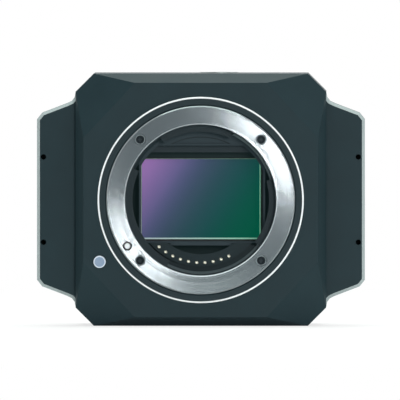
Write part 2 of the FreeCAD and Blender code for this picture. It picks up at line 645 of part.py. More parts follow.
def front_housing():
    """Octagonal machined shell: bevelled front, two ears, cavity, mount seat and posts."""
    body = new_body("housing_body")
    face = sketch_at(body, "front_face", "face_at")
    octagon(face, "face_width", "face_height", "face_corner_x", "face_corner_z")
    shoulder = sketch_at(body, "bevel_foot", "face_at+bevel_depth")
    octagon(shoulder, "body_width", "body_height", "body_corner", "body_corner")
    bevel = body.newObject("PartDesign::AdditiveLoft", "bevel")
    bevel.Profile = face
    bevel.Sections = [shoulder]
    bevel.Ruled = True
    doc.recompute()
    walls = sketch_at(body, "walls", "face_at+bevel_depth")
    octagon(walls, "body_width", "body_height", "body_corner", "body_corner")
    pad(body, walls, "%s-face_at-bevel_depth" % RIM_AT)

    for side, name in (("", "right_ear"), ("-", "left_ear")):
        ear = sketch_at(body, name, "ear_at+ear_chamfer")
        polygon(ear, ear_outline(side))
        chamfered_front(body, ear, "ear_chamfer")
        pad(body, ear, "ear_thickness-ear_chamfer")

    cavity = sketch_at(body, "cavity", "wall_back")
    octagon(cavity, "cavity_width", "cavity_height", "cavity_corner", "cavity_corner")
    pocket(body, cavity, RIM_AT)
    seat = sketch_at(body, "mount_seat", "face_at")
    circle(seat, "0", "0", "trim_diameter+2*loose_fit")
    pocket(body, seat, "ring_thickness-face_at")
    throat = sketch_at(body, "throat_hole", "face_at")
    circle(throat, "0", "0", "2*(%s)" % SEAT_HOLE)
    pocket(body, throat, "front_wall+ring_thickness")

    posts = sketch_at(body, "chassis_posts", "wall_back")
    for x, z in STACK:
        circle(posts, x, z, "post_diameter")
    pad(body, posts, "shutter_at-wall_back")
    threads = sketch_at(body, "post_threads", "shutter_at-thread_depth")
    for x, z in STACK:
        circle(threads, x, z, CLEAR_HOLE)
    pocket(body, threads, "thread_depth")

    screws = sketch_at(body, "mount_screw_holes", "ring_thickness")
    for x, z in four_places("mount_screw_spacing", "mount_screw_spacing"):
        circle(screws, x, z, CLEAR_HOLE)
    circle(screws, "lock_x", "lock_z", "lock_diameter+4*running_fit")
    pocket(body, screws, "front_wall")
    button = sketch_at(body, "button_hole", "face_at")
    circle(button, "button_x", "button_z", "button_diameter+2*running_fit")
    pocket(body, button, "button_body+release_travel-button_proud+running_fit")
    stem = sketch_at(body, "stem_hole", "face_at")
    circle(stem, "button_x", "button_z", "stem_diameter+2*running_fit")
    pocket(body, stem, "wall_back-face_at")

    ear_holes = sketch_at(body, "ear_holes", "ear_at")
    for x, z in four_places("ear_hole_spacing_x", "ear_hole_spacing_z"):
        circle(ear_holes, x, z, "ear_hole_diameter")
    pocket(body, ear_holes, "ear_hole_depth")
    cover_holes = sketch_at(body, "cover_screw_holes", "%s-cover_screw_length" % RIM_AT)
    for x, z in COVER_SCREWS:
        circle(cover_holes, x, z, CLEAR_HOLE)
    pocket(body, cover_holes, "cover_screw_length+1")

    insert_hole = rod_up("insert_hole", "insert_x", "insert_at", "body_height/2-insert_length-1",
                         "insert_length+2", "insert_body/2+loose_fit")
    card_slot = block("card_slot", "-body_width/2-1", "-body_width/2+side_wall+1",
                      CARD_AT + "-running_fit", CARD_AT + "+slot_depth+running_fit",
                      "slot_z-slot_width/2-running_fit", "slot_z+slot_width/2+running_fit")
    keep("front_housing", cut("front_housing", body, fuse("side_openings", [insert_hole, card_slot])))


def chamfered_front(body, sketch, depth):
    """A slab ahead of the sketch whose edges lean in at 45 degrees."""
    feature = body.newObject("PartDesign::Pad", "edge")
    feature.Profile = sketch
    feature.TaperAngle = -45
    bind(feature, "Length", depth)
    doc.recompute()


def rod_up(name, x, y, low, length, radius):
    """An upright cylinder."""
    piece = doc.addObject("Part::Cylinder", name)
    for prop, formula in (("Placement.Base.x", x), ("Placement.Base.y", y),
                          ("Placement.Base.z", low), ("Height", length), ("Radius", radius)):
        bind(piece, prop, formula)
    return piece


def mount_screw_recesses():
    """Countersinks and clearance holes for the four mount screws."""
    place = "mount_screw_spacing/2"
    well = rod("recess_well", place, place, "-1", "1+mount_screw_sink+screw_rim", "mount_screw_recess/2")
    sink = cone("recess_cone", place, place, "mount_screw_sink+screw_rim", "mount_screw_head_depth",
                "mount_screw_recess/2", "screw_shank/2+loose_fit")
    shaft = rod("recess_shaft", place, place, "0", "ring_thickness+1", "screw_shank/2+loose_fit")
    return all_four("screw_recesses", fuse("screw_recess", [well, sink, shaft]))


def lens_mount_ring():
    """Turned metal flange with its locating spigot, screw recesses and lock pin hole."""
    blank = turned("mount_ring", [
        ("throat_diameter/2", "0"), ("ring_diameter/2-ring_edge", "0"),
        ("ring_diameter/2", "ring_edge"), ("ring_diameter/2", "ring_thickness"),
        ("spigot_diameter/2", "ring_thickness"), ("spigot_diameter/2", "ring_thickness+spigot_length"),
        ("throat_diameter/2", "ring_thickness+spigot_length")])
    lock = rod("lock_hole_cutter", "lock_x", "lock_z", "-1", "ring_thickness+2", "lock_hole/2")
    holes = fuse("ring_holes", [mount_screw_recesses(), lock])
    keep("lens_mount_ring", cut("lens_mount_ring", blank, holes))


def mount_bezel_ring():
    """Black ring that fills the seat round the metal ring."""
    inner, outer = "ring_diameter/2+loose_fit", "bezel_diameter/2"
    keep("mount_bezel_ring", turned("bezel", [
        (inner, "bezel_at+ring_edge"), (inner + "+ring_edge", "bezel_at"),
        (outer, "bezel_at"), (outer, "ring_thickness"), (inner, "ring_thickness")]))


def mount_trim_ring():
    """Thin pale ring round the mount, proud of the front face."""
    inner, outer = "bezel_diameter/2+loose_fit", "trim_diameter/2"
    keep("mount_trim_ring", turned("trim", [
        (inner, "trim_at"), (outer + "-trim_edge", "trim_at"), (outer, "trim_at+trim_edge"),
        (outer, "ring_thickness"), (inner, "ring_thickness")]))


def mount_screws():
    """Four countersunk screws with cross recesses, through the ring and the claw ring."""
    place = "mount_screw_spacing/2"
    crown = rod("mount_head_rim", place, place, "mount_screw_sink", "screw_rim", "mount_screw_head/2")
    head = cone("mount_head", place, place, "mount_screw_sink+screw_rim", "mount_screw_head_depth",
                "mount_screw_head/2", "screw_shank/2")
    shank = rod("mount_shank", place, place, "mount_screw_sink", "carrier_at-mount_screw_sink",
                "screw_shank/2")
    foot = "mount_screw_sink+screw_cross_depth"
    tall = block("cross_tall", "%s-screw_slot/2" % place, "%s+screw_slot/2" % place, "0", foot,
                 "%s-screw_cross" % place, "%s+screw_cross" % place)
    wide = block("cross_wide", "%s-screw_cross" % place, "%s+screw_cross" % place, "0", foot,
                 "%s-screw_slot/2" % place, "%s+screw_slot/2" % place)
    screw = cut("mount_screw", fuse("mount_screw_solid", [crown, head, shank]),
                fuse("mount_cross", [tall, wide]))
    keep("mount_screws", all_four("mount_screws", screw))


CLAW_GAPS = [(16.0, 65.0), (123.0, 155.0), (243.0, 322.0)]


def bayonet_claw_ring():
    """Ring behind the mount whose three inward claws hold a lens's bayonet tabs."""
    hub = rod("claw_hub", "0", "0", CLAW_AT, "carrier_at-%s" % CLAW_AT, "spigot_diameter/2")
    flange = rod("claw_flange_disc", "0", "0", "wall_back", "claw_flange", "claw_flange_diameter/2")
    bore = rod("claw_bore", "0", "0", "0", "shutter_at", "claw_inner_diameter/2")
    undercut = rod("claw_undercut", "0", "0", "wall_back", "claw_flange-claw_lip", "claw_gap_diameter/2")
    lip = cone("claw_lip_cutter", "0", "0", "carrier_at-claw_lip", "claw_lip", "claw_gap_diameter/2",
               "claw_gap_diameter/2-claw_lip")
    gaps = [sector("claw_gap_%d" % number, "0", "wall_back", "claw_gap_diameter/2", first, last)
            for number, (first, last) in enumerate(CLAW_GAPS)]
    place = "mount_screw_spacing/2"
    screws = all_four("claw_screw_holes", rod("claw_screw_hole", place, place, "0", "shutter_at",
                                              "screw_shank/2+loose_fit"))
    lock = rod("claw_lock_hole", "lock_x", "lock_z", "0", "shutter_at", "lock_diameter/2+2*running_fit")
    tools = fuse("claw_cutters", [bore, undercut, lip, screws, lock] + gaps)
    keep("bayonet_claw_ring", cut("bayonet_claw_ring", fuse("claw_blank", [hub, flange]), tools))


def bayonet_springs():
    """Leaf springs on the back of the claws, which draw a lens against the mount face."""
    leaves = []
    for number, (first, last) in enumerate(CLAW_GAPS):
        after = CLAW_GAPS[(number + 1) % len(CLAW_GAPS)][0] + (360 if number == 2 else 0)
        middle, half = (last + after) / 2, (after - last) / 3
        outer = sector("leaf_outer_%d" % number, "wall_back", "leaf_thickness",
                       "claw_gap_diameter/2-loose_fit", middle - half, middle + half)
        inner = rod("leaf_inner_%d" % number, "0", "0", "0", "shutter_at",
                    "claw_gap_diameter/2-loose_fit-leaf_width")
        leaves.append(cut("leaf_%d" % number, outer, inner))
    keep("bayonet_springs", group("bayonet_springs", leaves))


def between(name, start, thickness, here, there, width):
    """A flat link with round ends between two points of the XZ plane."""
    (ax, az), (bx, bz) = here, there
    run_x, run_z = "((%s)-(%s))" % (bx, ax), "((%s)-(%s))" % (bz, az)
    length = "sqrt(%s^2+%s^2)" % (run_x, run_z)
    side_x = "((%s)/2*%s/%s)" % (width, run_z, length)
    side_z = "((%s)/2*%s/%s)" % (width, run_x, length)
    body = new_body(name + "_bar")
    outline = sketch_at(body, name + "_outline", start)
    polygon(outline, [
        ("(%s)+%s" % (ax, side_x), "(%s)-%s" % (az, side_z)),
        ("(%s)+%s" % (bx, side_x), "(%s)-%s" % (bz, side_z)),
        ("(%s)-%s" % (bx, side_x), "(%s)+%s" % (bz, side_z)),
        ("(%s)-%s" % (ax, side_x), "(%s)+%s" % (az, side_z))])
    pad(body, outline, thickness)
    ends = [rod(name + "_end_%d" % number, x, z, start, thickness, "(%s)/2" % width)
            for number, (x, z) in enumerate((here, there))]
    return fuse(name + "_link", [body] + ends)


def lens_release_button():
    """Small domed button on the front face, with the stem that reaches the release plate."""
    x, z, edge = "button_x", "button_z", "ring_edge"
    crown = cone("button_crown", x, z, BUTTON_AT, edge, "button_diameter/2-ring_edge", "button_diameter/2")
    barrel = rod("button_barrel", x, z, "%s+%s" % (BUTTON_AT, edge), "button_body-ring_edge",
                 "button_diameter/2")
    stem = rod("button_stem", x, z, "%s+button_body" % BUTTON_AT,
               "%s-%s-button_body" % (RELEASE_AT, BUTTON_AT), "stem_diameter/2")
    keep("lens_release_button", fuse("lens_release_button", [crown, barrel, stem]))


def lens_lock_pin():
    """Steel pin that stands in a lens's locking slot."""
    tip = cone("lock_tip", "lock_x", "lock_z", "-lock_proud", "lock_tip", "lock_diameter/2-lock_tip",
               "lock_diameter/2")
    shaft = rod("lock_shaft", "lock_x", "lock_z", "lock_tip-lock_proud",
                "%s+lock_proud-lock_tip" % RELEASE_AT, "lock_diameter/2")
    keep("lens_lock_pin", fuse("lens_lock_pin", [tip, shaft]))


def release_plate():
    """Plate behind the wall that carries both the button's stem and the lock pin."""
    link = between("release", RELEASE_AT, "release_plate_thickness", ("button_x", "button_z"),
                   ("lock_x", "lock_z"), "2*release_plate_end")
    keep("release_plate", link)


# The springs' wire is drawn with this many flats.
COIL_SIDES = 8


def coil(name, x, z):
    """Compression spring between the release plate and the shutter."""
    spine = doc.addObject("Part::Helix", name + "_spine")
    room = "(shutter_at-%s-coil_wire-2*loose_fit)" % SPRING_AT
    bind(spine, "Radius", "coil_radius")
    bind(spine, "Height", room)
    bind(spine, "Pitch", "%s/coil_turns" % room)
    wire = doc.addObject("Part::RegularPolygon", name + "_wire")
    wire.Polygon = COIL_SIDES
    wire.Placement = FreeCAD.Placement(Vector(0, 0, 0), FreeCAD.Rotation(Vector(1, 0, 0), 90))
    bind(wire, "Circumradius", "coil_wire/2")
    bind(wire, "Placement.Base.x", "coil_radius")
    sweep = doc.addObject("Part::Sweep", name)
    sweep.Sections = [wire]
    sweep.Spine = (spine, [])
    sweep.Solid = True
    sweep.Frenet = True
    sweep.Placement = FreeCAD.Placement(Vector(0, 0, 0), TOWARDS_BACK)
    bind(sweep, "Placement.Base.x", x)
    bind(sweep, "Placement.Base.y", "%s+coil_wire/2+loose_fit" % SPRING_AT)
    bind(sweep, "Placement.Base.z", z)
    keep(name, sweep)


def light_baffle():
    """Stepped black box round the picture opening, with a round front sheet behind the claws."""
    left, right = "-(baffle_window_left+baffle_wall)", "baffle_window_right+baffle_wall"
    foot = "-(baffle_window_bottom+baffle_wall)"
    sheet_back = "baffle_at+baffle_sheet"
    disc = rod("baffle_disc", "0", "0", "baffle_at", "baffle_sheet", "claw_gap_diameter/2+baffle_overlap")
    slab = block("baffle_slab", left, right, "baffle_at", sheet_back, foot, "overall_width/2")
    tongue = block("baffle_tongue", "-baffle_tongue_width/2", "baffle_tongue_width/2", "baffle_at",
                   sheet_back, "-baffle_tongue_bottom", foot)
    box = block("baffle_box", left, right, sheet_back, "shutter_at", foot, "baffle_window_top+baffle_wall")
    solid = fuse("baffle_solid", [common("baffle_front", disc, slab), tongue, box])

    window = block("baffle_window", "-baffle_window_left", "baffle_window_right", "baffle_at-1",
                   "baffle_at+baffle_step", "-baffle_window_bottom", "baffle_window_top")
    # The front sheet keeps the corners of its window that lie outside the claws' circle.
    mouth = rod("baffle_mouth", "0", "0", "baffle_at-1", "baffle_sheet+1",
                "claw_inner_diameter/2+baffle_mouth_step")
    front = block("baffle_mouth_front", "-overall_width", "overall_width", "baffle_at-1", sheet_back,
                  "-overall_width", "overall_width")
    window = cut("baffle_round_window", window, cut("baffle_corners", front, mouth))
    inner = block("baffle_inner_window", "-baffle_window_left", "aperture_width/2", sheet_back,
                  "shutter_at+1", "-baffle_window_bottom", "baffle_inner_top")
    rise = "(baffle_arch_high-baffle_arch_low)"
    radius = "(((baffle_arch_width/2)^2+%s^2)/(2*%s))" % (rise, rise)
    round_top = rod("arch_disc", "0", "baffle_arch_high-%s" % radius, "baffle_at-1", "1+baffle_arch_depth",
                    radius)
    above = block("arch_above", "-baffle_arch_width", "baffle_arch_width", "baffle_at-1",
                  "baffle_at+baffle_arch_depth", "baffle_arch_low", "baffle_arch_high+1")
    arch = common("baffle_arch", round_top, above)
    keep("light_baffle", cut("light_baffle", solid, fuse("baffle_cutters", [window, inner, arch])))


CONTACTS = range(int(size("contact_count")))
CONTACT_LAST = "(contact_first_angle+contact_pitch_angle*(contact_count-1))"


def contact_place(number):
    angle = "(contact_first_angle+%d*contact_pitch_angle)" % number
    return "contact_radius*cos(%s)" % angle, "contact_radius*sin(%s)" % angle


def ring_below(name, start, length, outside, inner, top):
    """What lies below a level in a disc or slice of disc, outside an inner radius."""
    inside = rod(name + "_inside", "0", "0", "(%s)-1" % start, "(%s)+2" % length, inner)
    above = block(name + "_above", "-overall_width", "overall_width", "(%s)-1" % start,
                  "(%s)+(%s)+1" % (start, length), "-(%s)" % top, "overall_width")
    return cut(name, outside, fuse(name + "_trim", [inside, above]))


def carrier_slice(name, start, length, outer, inner):
    """A slice of ring under the picture opening, as wide as the contacts need."""
    outside = sector(name + "_outside", start, length, outer, "contact_first_angle-carrier_lead_angle",
                     CONTACT_LAST + "+carrier_tail_angle")
    return ring_below(name, start, length, outside, inner, "carrier_top")


def contact_block():
    """Arc-shaped insulating carrier of the contacts, seated behind the claw ring."""
    seat = carrier_slice("carrier_seat", "carrier_at", "carrier_depth", "carrier_outer", "carrier_inner")
    disc = rod("carrier_nose_disc", "0", "0", "carrier_nose_at", "carrier_nose_length", "carrier_nose")
    nose = ring_below("carrier_nose_part", "carrier_nose_at", "carrier_nose_length", disc,
                      "carrier_inner-carrier_nose_step", "carrier_nose_top")
    bores = []
    for number in CONTACTS:
        x, z = contact_place(number)
        bores.append(rod("pin_bore_%d" % number, x, z, "0", "shutter_at", "contact_diameter/2+running_fit"))
        bores.append(rod("shoulder_bore_%d" % number, x, z, SHOULDER_AT + "-running_fit", "shutter_at",
                         "contact_shoulder/2+running_fit"))
    solid = fuse("carrier_solid", [seat, nose])
    keep("contact_block", cut("contact_block", solid, fuse("carrier_bores", bores)))


def contact_pins():
    """Ten sprung contacts with round tips and a shoulder inside the carrier."""
    front = "(carrier_nose_at-contact_proud)"
    tip = "(contact_diameter/4)"
    pins = []
    for number in CONTACTS:
        x, z = contact_place(number)
        point = cone("pin_tip_%d" % number, x, z, front, tip, tip, "contact_diameter/2")
        shaft = rod("pin_shaft_%d" % number, x, z, "%s+%s" % (front, tip),
                    "%s-%s-%s" % (PIN_BACK, front, tip), "contact_diameter/2")
        shoulder = rod("pin_shoulder_%d" % number, x, z, SHOULDER_AT, "contact_travel-running_fit",
                       "contact_shoulder/2")
        pins.append(fuse("pin_%d" % number, [point, shaft, shoulder]))
    keep("contact_pins", group("contact_pins", pins))


def contact_flex():
    """Flexible circuit behind the contacts."""
    keep("contact_flex", carrier_slice("contact_flex", CARRIER_BACK, "flex_thickness",
                                       "carrier_outer-flex_inset", "carrier_inner+flex_step"))


def shutter_sheet(name, start, thickness):
    """A shutter plate with the picture opening and its screw and pivot holes."""
    body = new_body(name + "_body")
    outline = sketch_at(body, name + "_outline", start)
    octagon(outline, "shutter_width", "shutter_height", "shutter_corner", "shutter_corner")
    rectangle(outline, "-aperture_width/2", "aperture_width/2", "-aperture_height/2", "aperture_height/2")
    for x, z in STACK:
        circle(outline, x, z, CLEAR_HOLE)
    for x, z in PIVOTS:
        circle(outline, x, z, "pivot_diameter+2*loose_fit")
    pad(body, outline, thickness)
    keep(name, body)


def curtain(name, sign, arm_at, blade_at, blade_step):
    """Two parallel arms and three blades, stacked clear of the opening at rest.

    The second curtain is the first one's image in the horizontal centre plane. Its arms
    lie behind its blades, so blade_step runs forward there.
    """
    lean_x, lean_z = "cos(arm_swing/2)", "sin(arm_swing/2)"
    blades = (("lead_blade", "lead_rivet_reach"), ("second_blade", "middle_rivet_reach"),
              ("third_blade", "near_rivet_reach"))

    def up(formula):
        return "%s(%s)" % (sign, formula)

    for role, pivot in (("drive", "drive_pivot_z"), ("guide", "guide_pivot_z")):
        arm = name + "_%s_arm" % role
        tip = ("-pivot_x+lead_rivet_reach*" + lean_x, up("%s+lead_rivet_reach*%s" % (pivot, lean_z)))
        link = between(arm, arm_at, "arm_thickness", ("-pivot_x", up(pivot)), tip, "arm_width")
        holes = [rod(arm + "_pivot_hole", "-pivot_x", up(pivot), "0", SHUTTER_BACK,
                     "pivot_diameter/2+running_fit")]
        for role_of_blade, reach in blades:
            holes.append(rod(arm + "_%s_hole" % role_of_blade, "-pivot_x+%s*%s" % (reach, lean_x),
                             up("%s+%s*%s" % (pivot, reach, lean_z)), "0", SHUTTER_BACK,
                             "rivet_diameter/2+running_fit"))
        keep(arm, cut(arm, link, fuse(arm + "_holes", holes)))

    for number, (role_of_blade, reach) in enumerate(blades):
        blade = name + "_" + role_of_blade
        front = "(%s+%d*%s)" % (blade_at, number, blade_step)
        back = "(%s+blade_thickness)" % front
        pin_x = "(-pivot_x+%s*%s)" % (reach, lean_x)
        low, high = ("(%s+%s*%s)" % (pivot, reach, lean_z) for pivot in ("drive_pivot_z", "guide_pivot_z"))
        body = new_body(blade + "_body")
        sheet_outline = sketch_at(body, blade + "_outline", front)
        top = "blade_stack_z+blade_height/2"
        rectangle(sheet_outline, pin_x + "-blade_margin", "blade_reach",
                  up("blade_stack_z-blade_height/2"), up(top))
        pad(body, sheet_outline, "blade_thickness")
        lug = sketch_at(body, blade + "_lug", front)
        rectangle(lug, pin_x + "-blade_margin", pin_x + "+blade_margin",
                  up(low + "-blade_margin"), up(high + "+blade_margin"))
        pad(body, lug, "blade_thickness")
        ahead = size(arm_at) < size(front)
        start = arm_at if ahead else front
        end = back if ahead else "(%s+arm_thickness)" % arm_at
        rivets = [rod(blade + "_rivet_%d" % side, pin_x, up(pin_z), start, "%s-%s" % (end, start),
                      "rivet_diameter/2") for side, pin_z in enumerate((low, high))]
        keep(blade, fuse(blade, [body] + rivets))


def shutter():
    """Focal plane shutter: three plates, two curtains, their pivot posts and the motor."""
    shutter_sheet("shutter_base_plate", "shutter_at", "shutter_plate")
    shutter_sheet("shutter_middle_plate", MIDDLE_AT, "shutter_middle")
    shutter_sheet("shutter_cover_plate", "%s-shutter_plate" % SHUTTER_BACK, "shutter_plate")
    arm_at = "(shutter_at+%s)" % ARM_LAYER
    curtain("first_curtain", "", arm_at, "(%s+arm_thickness+layer_gap)" % arm_at, BLADE_STEP)
    rear_arm_at = "(%s-%s-arm_thickness)" % (SHUTTER_BACK, ARM_LAYER)
    curtain("second_curtain", "-", rear_arm_at, "(%s-%s)" % (rear_arm_at, BLADE_STEP), "(-%s)" % BLADE_STEP)
    posts = [rod("pivot_post_%d" % number, x, z, "shutter_at", SHUTTER_DEPTH, "pivot_diameter/2")
             for number, (x, z) in enumerate(PIVOTS)]
    keep("shutter_pivot_posts", group("shutter_pivot_posts", posts))
    shutter_motor()


def shutter_motor():
    """Small cocking motor that stands on the shutter's front plate, beside the mount."""
    x, y = "motor_x", "shutter_at-motor_diameter/2"
    can = rod_up("motor_can", x, y, "-motor_length/2", "motor_length", "motor_diameter/2")
    boss = rod_up("motor_boss", x, y, "motor_length/2", "motor_boss", "motor_diameter/5")
    shaft = rod_up("motor_shaft", x, y, "motor_length/2+motor_boss", "motor_shaft", "motor_diameter/10")
    pinion = rod_up("motor_pinion", x, y, "motor_length/2+motor_boss+pinion_gap", "pinion_width",
                    "motor_diameter/4")
    keep("shutter_motor", fuse("shutter_motor", [can, boss, shaft, pinion]))


def sensor_frame():
    """Machined frame behind the shutter that holds the filter glass and the sensor."""
    body = new_body("sensor_frame_body")
    outline = sketch_at(body, "sensor_frame_outline", SHUTTER_BACK)
    octagon(outline, "spreader_width", "spreader_height", "spreader_corner", "spreader_corner")
    octagon(outline, "glass_width-2*glass_rest", "glass_height-2*glass_rest", "glass_corner", "glass_corner")
    for x, z in STACK:
        circle(outline, x, z, CLEAR_HOLE)
    pad(body, outline, "sensor_frame_depth")
    bed = sketch_at(body, "glass_bed", SHUTTER_BACK)
    octagon(bed, "glass_width+2*loose_fit", "glass_height+2*loose_fit", "glass_corner", "glass_corner")
    pocket(body, bed, "sensor_frame_depth-sensor_lip")
    bosses = sketch_at(body, "sensor_bosses", FRAME_BACK)
    for x, z in SENSOR_SCREWS:
        circle(bosses, x, z, "1.5*screw_shank")
    pad(body, bosses, "package_depth")
    threads = sketch_at(body, "sensor_threads", "%s-1" % FRAME_BACK)
    for x, z in SENSOR_SCREWS:
        circle(threads, x, z, "screw_shank/2+2*loose_fit")
    pocket(body, threads, "package_depth+1")
    keep("sensor_frame", body)


def plain_board(name, start, thickness, width, height, corner, holes, diameter=CLEAR_HOLE):
    """A sheet about the axis with cut corners and a set of equal holes."""
    body = new_body(name + "_body")
    outline = sketch_at(body, name + "_outline", start)
    octagon(outline, width, height, corner, corner)
    for x, z in holes:
        circle(outline, x, z, diameter)
    pad(body, outline, thickness)
    return body


def sensor_pieces():
    """Filter glass, chip, ceramic package, sensor board and its four screws."""
    glass = new_body("glass_body")
    rim = sketch_at(glass, "glass_rim", GLASS_AT + "+glass_bevel")
    octagon(rim, "glass_width", "glass_height", "glass_corner", "glass_corner")
    chamfered_front(glass, rim, "glass_bevel")
    pad(glass, rim, "glass_thickness-glass_bevel")
    keep("sensor_filter_glass", glass)
    package = new_body("package_body")
    outline = sketch_at(package, "package_outline", FRAME_BACK)
    octagon(outline, "package_width", "package_height", "package_corner", "package_corner")
    pad(package, outline, "package_depth")
    well = sketch_at(package, "package_well", FRAME_BACK)
    rectangle(well, "-die_width/2-die_gap", "die_width/2+die_gap", "-die_height/2-die_gap",
              "die_height/2+die_gap")
    pocket(package, well, "chip_sink+die_thickness")
    keep("sensor_package", package)
    keep("sensor_die", block("sensor_die", "-die_width/2", "die_width/2", IMAGE_PLANE,
                             "%s+die_thickness" % IMAGE_PLANE, "-die_height/2", "die_height/2"))
    keep("sensor_board", plain_board("sensor_board", PACKAGE_BACK, "board_thickness",
                                     "sensor_board_width", "sensor_board_height", "sensor_board_corner",
                                     SENSOR_SCREWS, "screw_shank/2+2*loose_fit"))
    head = rod("sensor_screw_head", "sensor_screw_x", "sensor_screw_z", SENSOR_BOARD_BACK,
               "sensor_screw_head", "screw_shank/2")
    shank = rod("sensor_screw_shank", "sensor_screw_x", "sensor_screw_z", FRAME_BACK,
                "%s-%s" % (SENSOR_BOARD_BACK, FRAME_BACK), "screw_shank/4")
    keep("sensor_board_screws", all_four("sensor_board_screws", fuse("sensor_screw", [head, shank])))


def heat_path():
    """Thermal pads and the plate that spreads the sensor's and processor's heat."""
    keep("thermal_pad", block("thermal_pad", "-pad_width/2", "pad_width/2", SENSOR_BOARD_BACK, SPREADER_AT,
                              "-pad_height/2", "pad_height/2"))
    keep("heat_spreader", plain_board("spreader", SPREADER_AT, "spreader_thickness", "spreader_width",
                                      "spreader_height", "spreader_corner", STACK))
    keep("processor_pad", block("processor_pad", "-chip_width/2", "chip_width/2", SPREADER_BACK,
                                SPREADER_BACK + "+pad_thickness", "-chip_width/2", "chip_width/2"))


def spacer(name, x, z, start, length):
    tube = rod(name + "_tube", x, z, start, length, "spacer_diameter/2")
    hole = rod(name + "_hole", x, z, "(%s)-1" % start, "(%s)+2" % length, "screw_shank/2+loose_fit")
    return cut(name, tube, hole)


def io_corners():
    return [(sign + "io_screw_x", "-" + height) for sign in ("", "-")
            for height in ("io_screw_top", "io_screw_bottom")]


def main_electronics():
    """Main board with its processor, memory, shield can and card socket, and its fixings."""
    board = plain_board("main_board", MAIN_AT, "board_thickness", "board_width", "board_height",
                        "board_corner", STACK + io_corners())
    keep("main_board", board)
    chips = [block("processor_chip", "-chip_width/2", "chip_width/2", SPREADER_BACK + "+pad_thickness",
                   MAIN_AT, "-chip_width/2", "chip_width/2")]
    for number, sign in enumerate(("", "-")):
        low = "%s0.75*chip_width-chip_width/4" % sign
        chips.append(block("memory_chip_%d" % number, "0.75*chip_width", "1.35*chip_width",
                           MAIN_AT + "-1", MAIN_AT, low, low + "+chip_width/2"))
    keep("processor_and_memory", group("processor_and_memory", chips))

    half, sheet_gap = "shield_width/2", "shield_sheet"
    can = block("can_outside", "shield_x-" + half, "shield_x+" + half, MAIN_BACK,
                MAIN_BACK + "+shield_height", "-" + half, half)
    hollow = block("can_inside", "shield_x-%s+%s" % (half, sheet_gap), "shield_x+%s-%s" % (half, sheet_gap),
                   MAIN_BACK + "-1", MAIN_BACK + "+shield_height-shield_sheet",
                   "-%s+%s" % (half, sheet_gap), "%s-%s" % (half, sheet_gap))
    keep("shield_can", cut("shield_can", can, hollow))

    left = "(-body_width/2+side_wall+running_fit)"
    shell = block("card_shell", left, left + "+socket_length", MAIN_BACK,
                  CARD_AT + "+slot_depth+socket_wall", "slot_z-slot_width/2-socket_wall",
                  "slot_z+slot_width/2+socket_wall")
    room = block("card_room", left + "-1", left + "+socket_length-socket_wall", CARD_AT,
                 CARD_AT + "+slot_depth", "slot_z-slot_width/2", "slot_z+slot_width/2")
    keep("card_socket", cut("card_socket", shell, room))

    place_x, place_z = "stack_spacing_x/2", "stack_spacing_z/2"
    front = spacer("front_spacer", place_x, place_z, FRAME_BACK, "%s-%s" % (SPREADER_AT, FRAME_BACK))
    rear = spacer("rear_spacer", place_x, place_z, SPREADER_BACK, "board_gap")
    keep("board_spacers", all_four("board_spacers", group("spacer_pair", [front, rear])))
    keep("chassis_screws", all_four("chassis_screws", cap_screw("chassis_screw", place_x, place_z,
                                                                MAIN_BACK, "chassis_screw_length")))


SOCKETS = [("usb_socket", "-usb_x", "usb_width", "usb_height", "usb_height/2"),
           ("video_socket", "-video_x", "video_width", "video_height", "0.6"),
           ("trigger_socket", "trigger_x", "trigger_width", "trigger_height", "0.7"),
           ("power_socket", "power_x", "power_width", "power_height", "1")]


def rounded_bar(name, x, z, start, length, width, height, corner):
    """A bar towards the back with a rounded rectangle as its section."""
    corner = "(%s)" % corner
    wide = block(name + "_wide", "%s-(%s)/2" % (x, width), "%s+(%s)/2" % (x, width), start,
                 "%s+%s" % (start, length), "%s-(%s)/2+%s" % (z, height, corner),
                 "%s+(%s)/2-%s+0.001" % (z, height, corner))
    tall = block(name + "_tall", "%s-(%s)/2+%s" % (x, width, corner), "%s+(%s)/2-%s" % (x, width, corner),
                 start, "%s+%s" % (start, length), "%s-(%s)/2" % (z, height), "%s+(%s)/2" % (z, height))
    corners = [rod(name + "_corner_%s%s" % (right, upper),
                   "%s%s((%s)/2-%s)" % (x, "+" if right else "-", width, corner),
                   "%s%s((%s)/2-%s)" % (z, "+" if upper else "-", height, corner), start, length, corner)
               for right in (0, 1) for upper in (0, 1)]
    return fuse(name, [wide, tall] + corners)


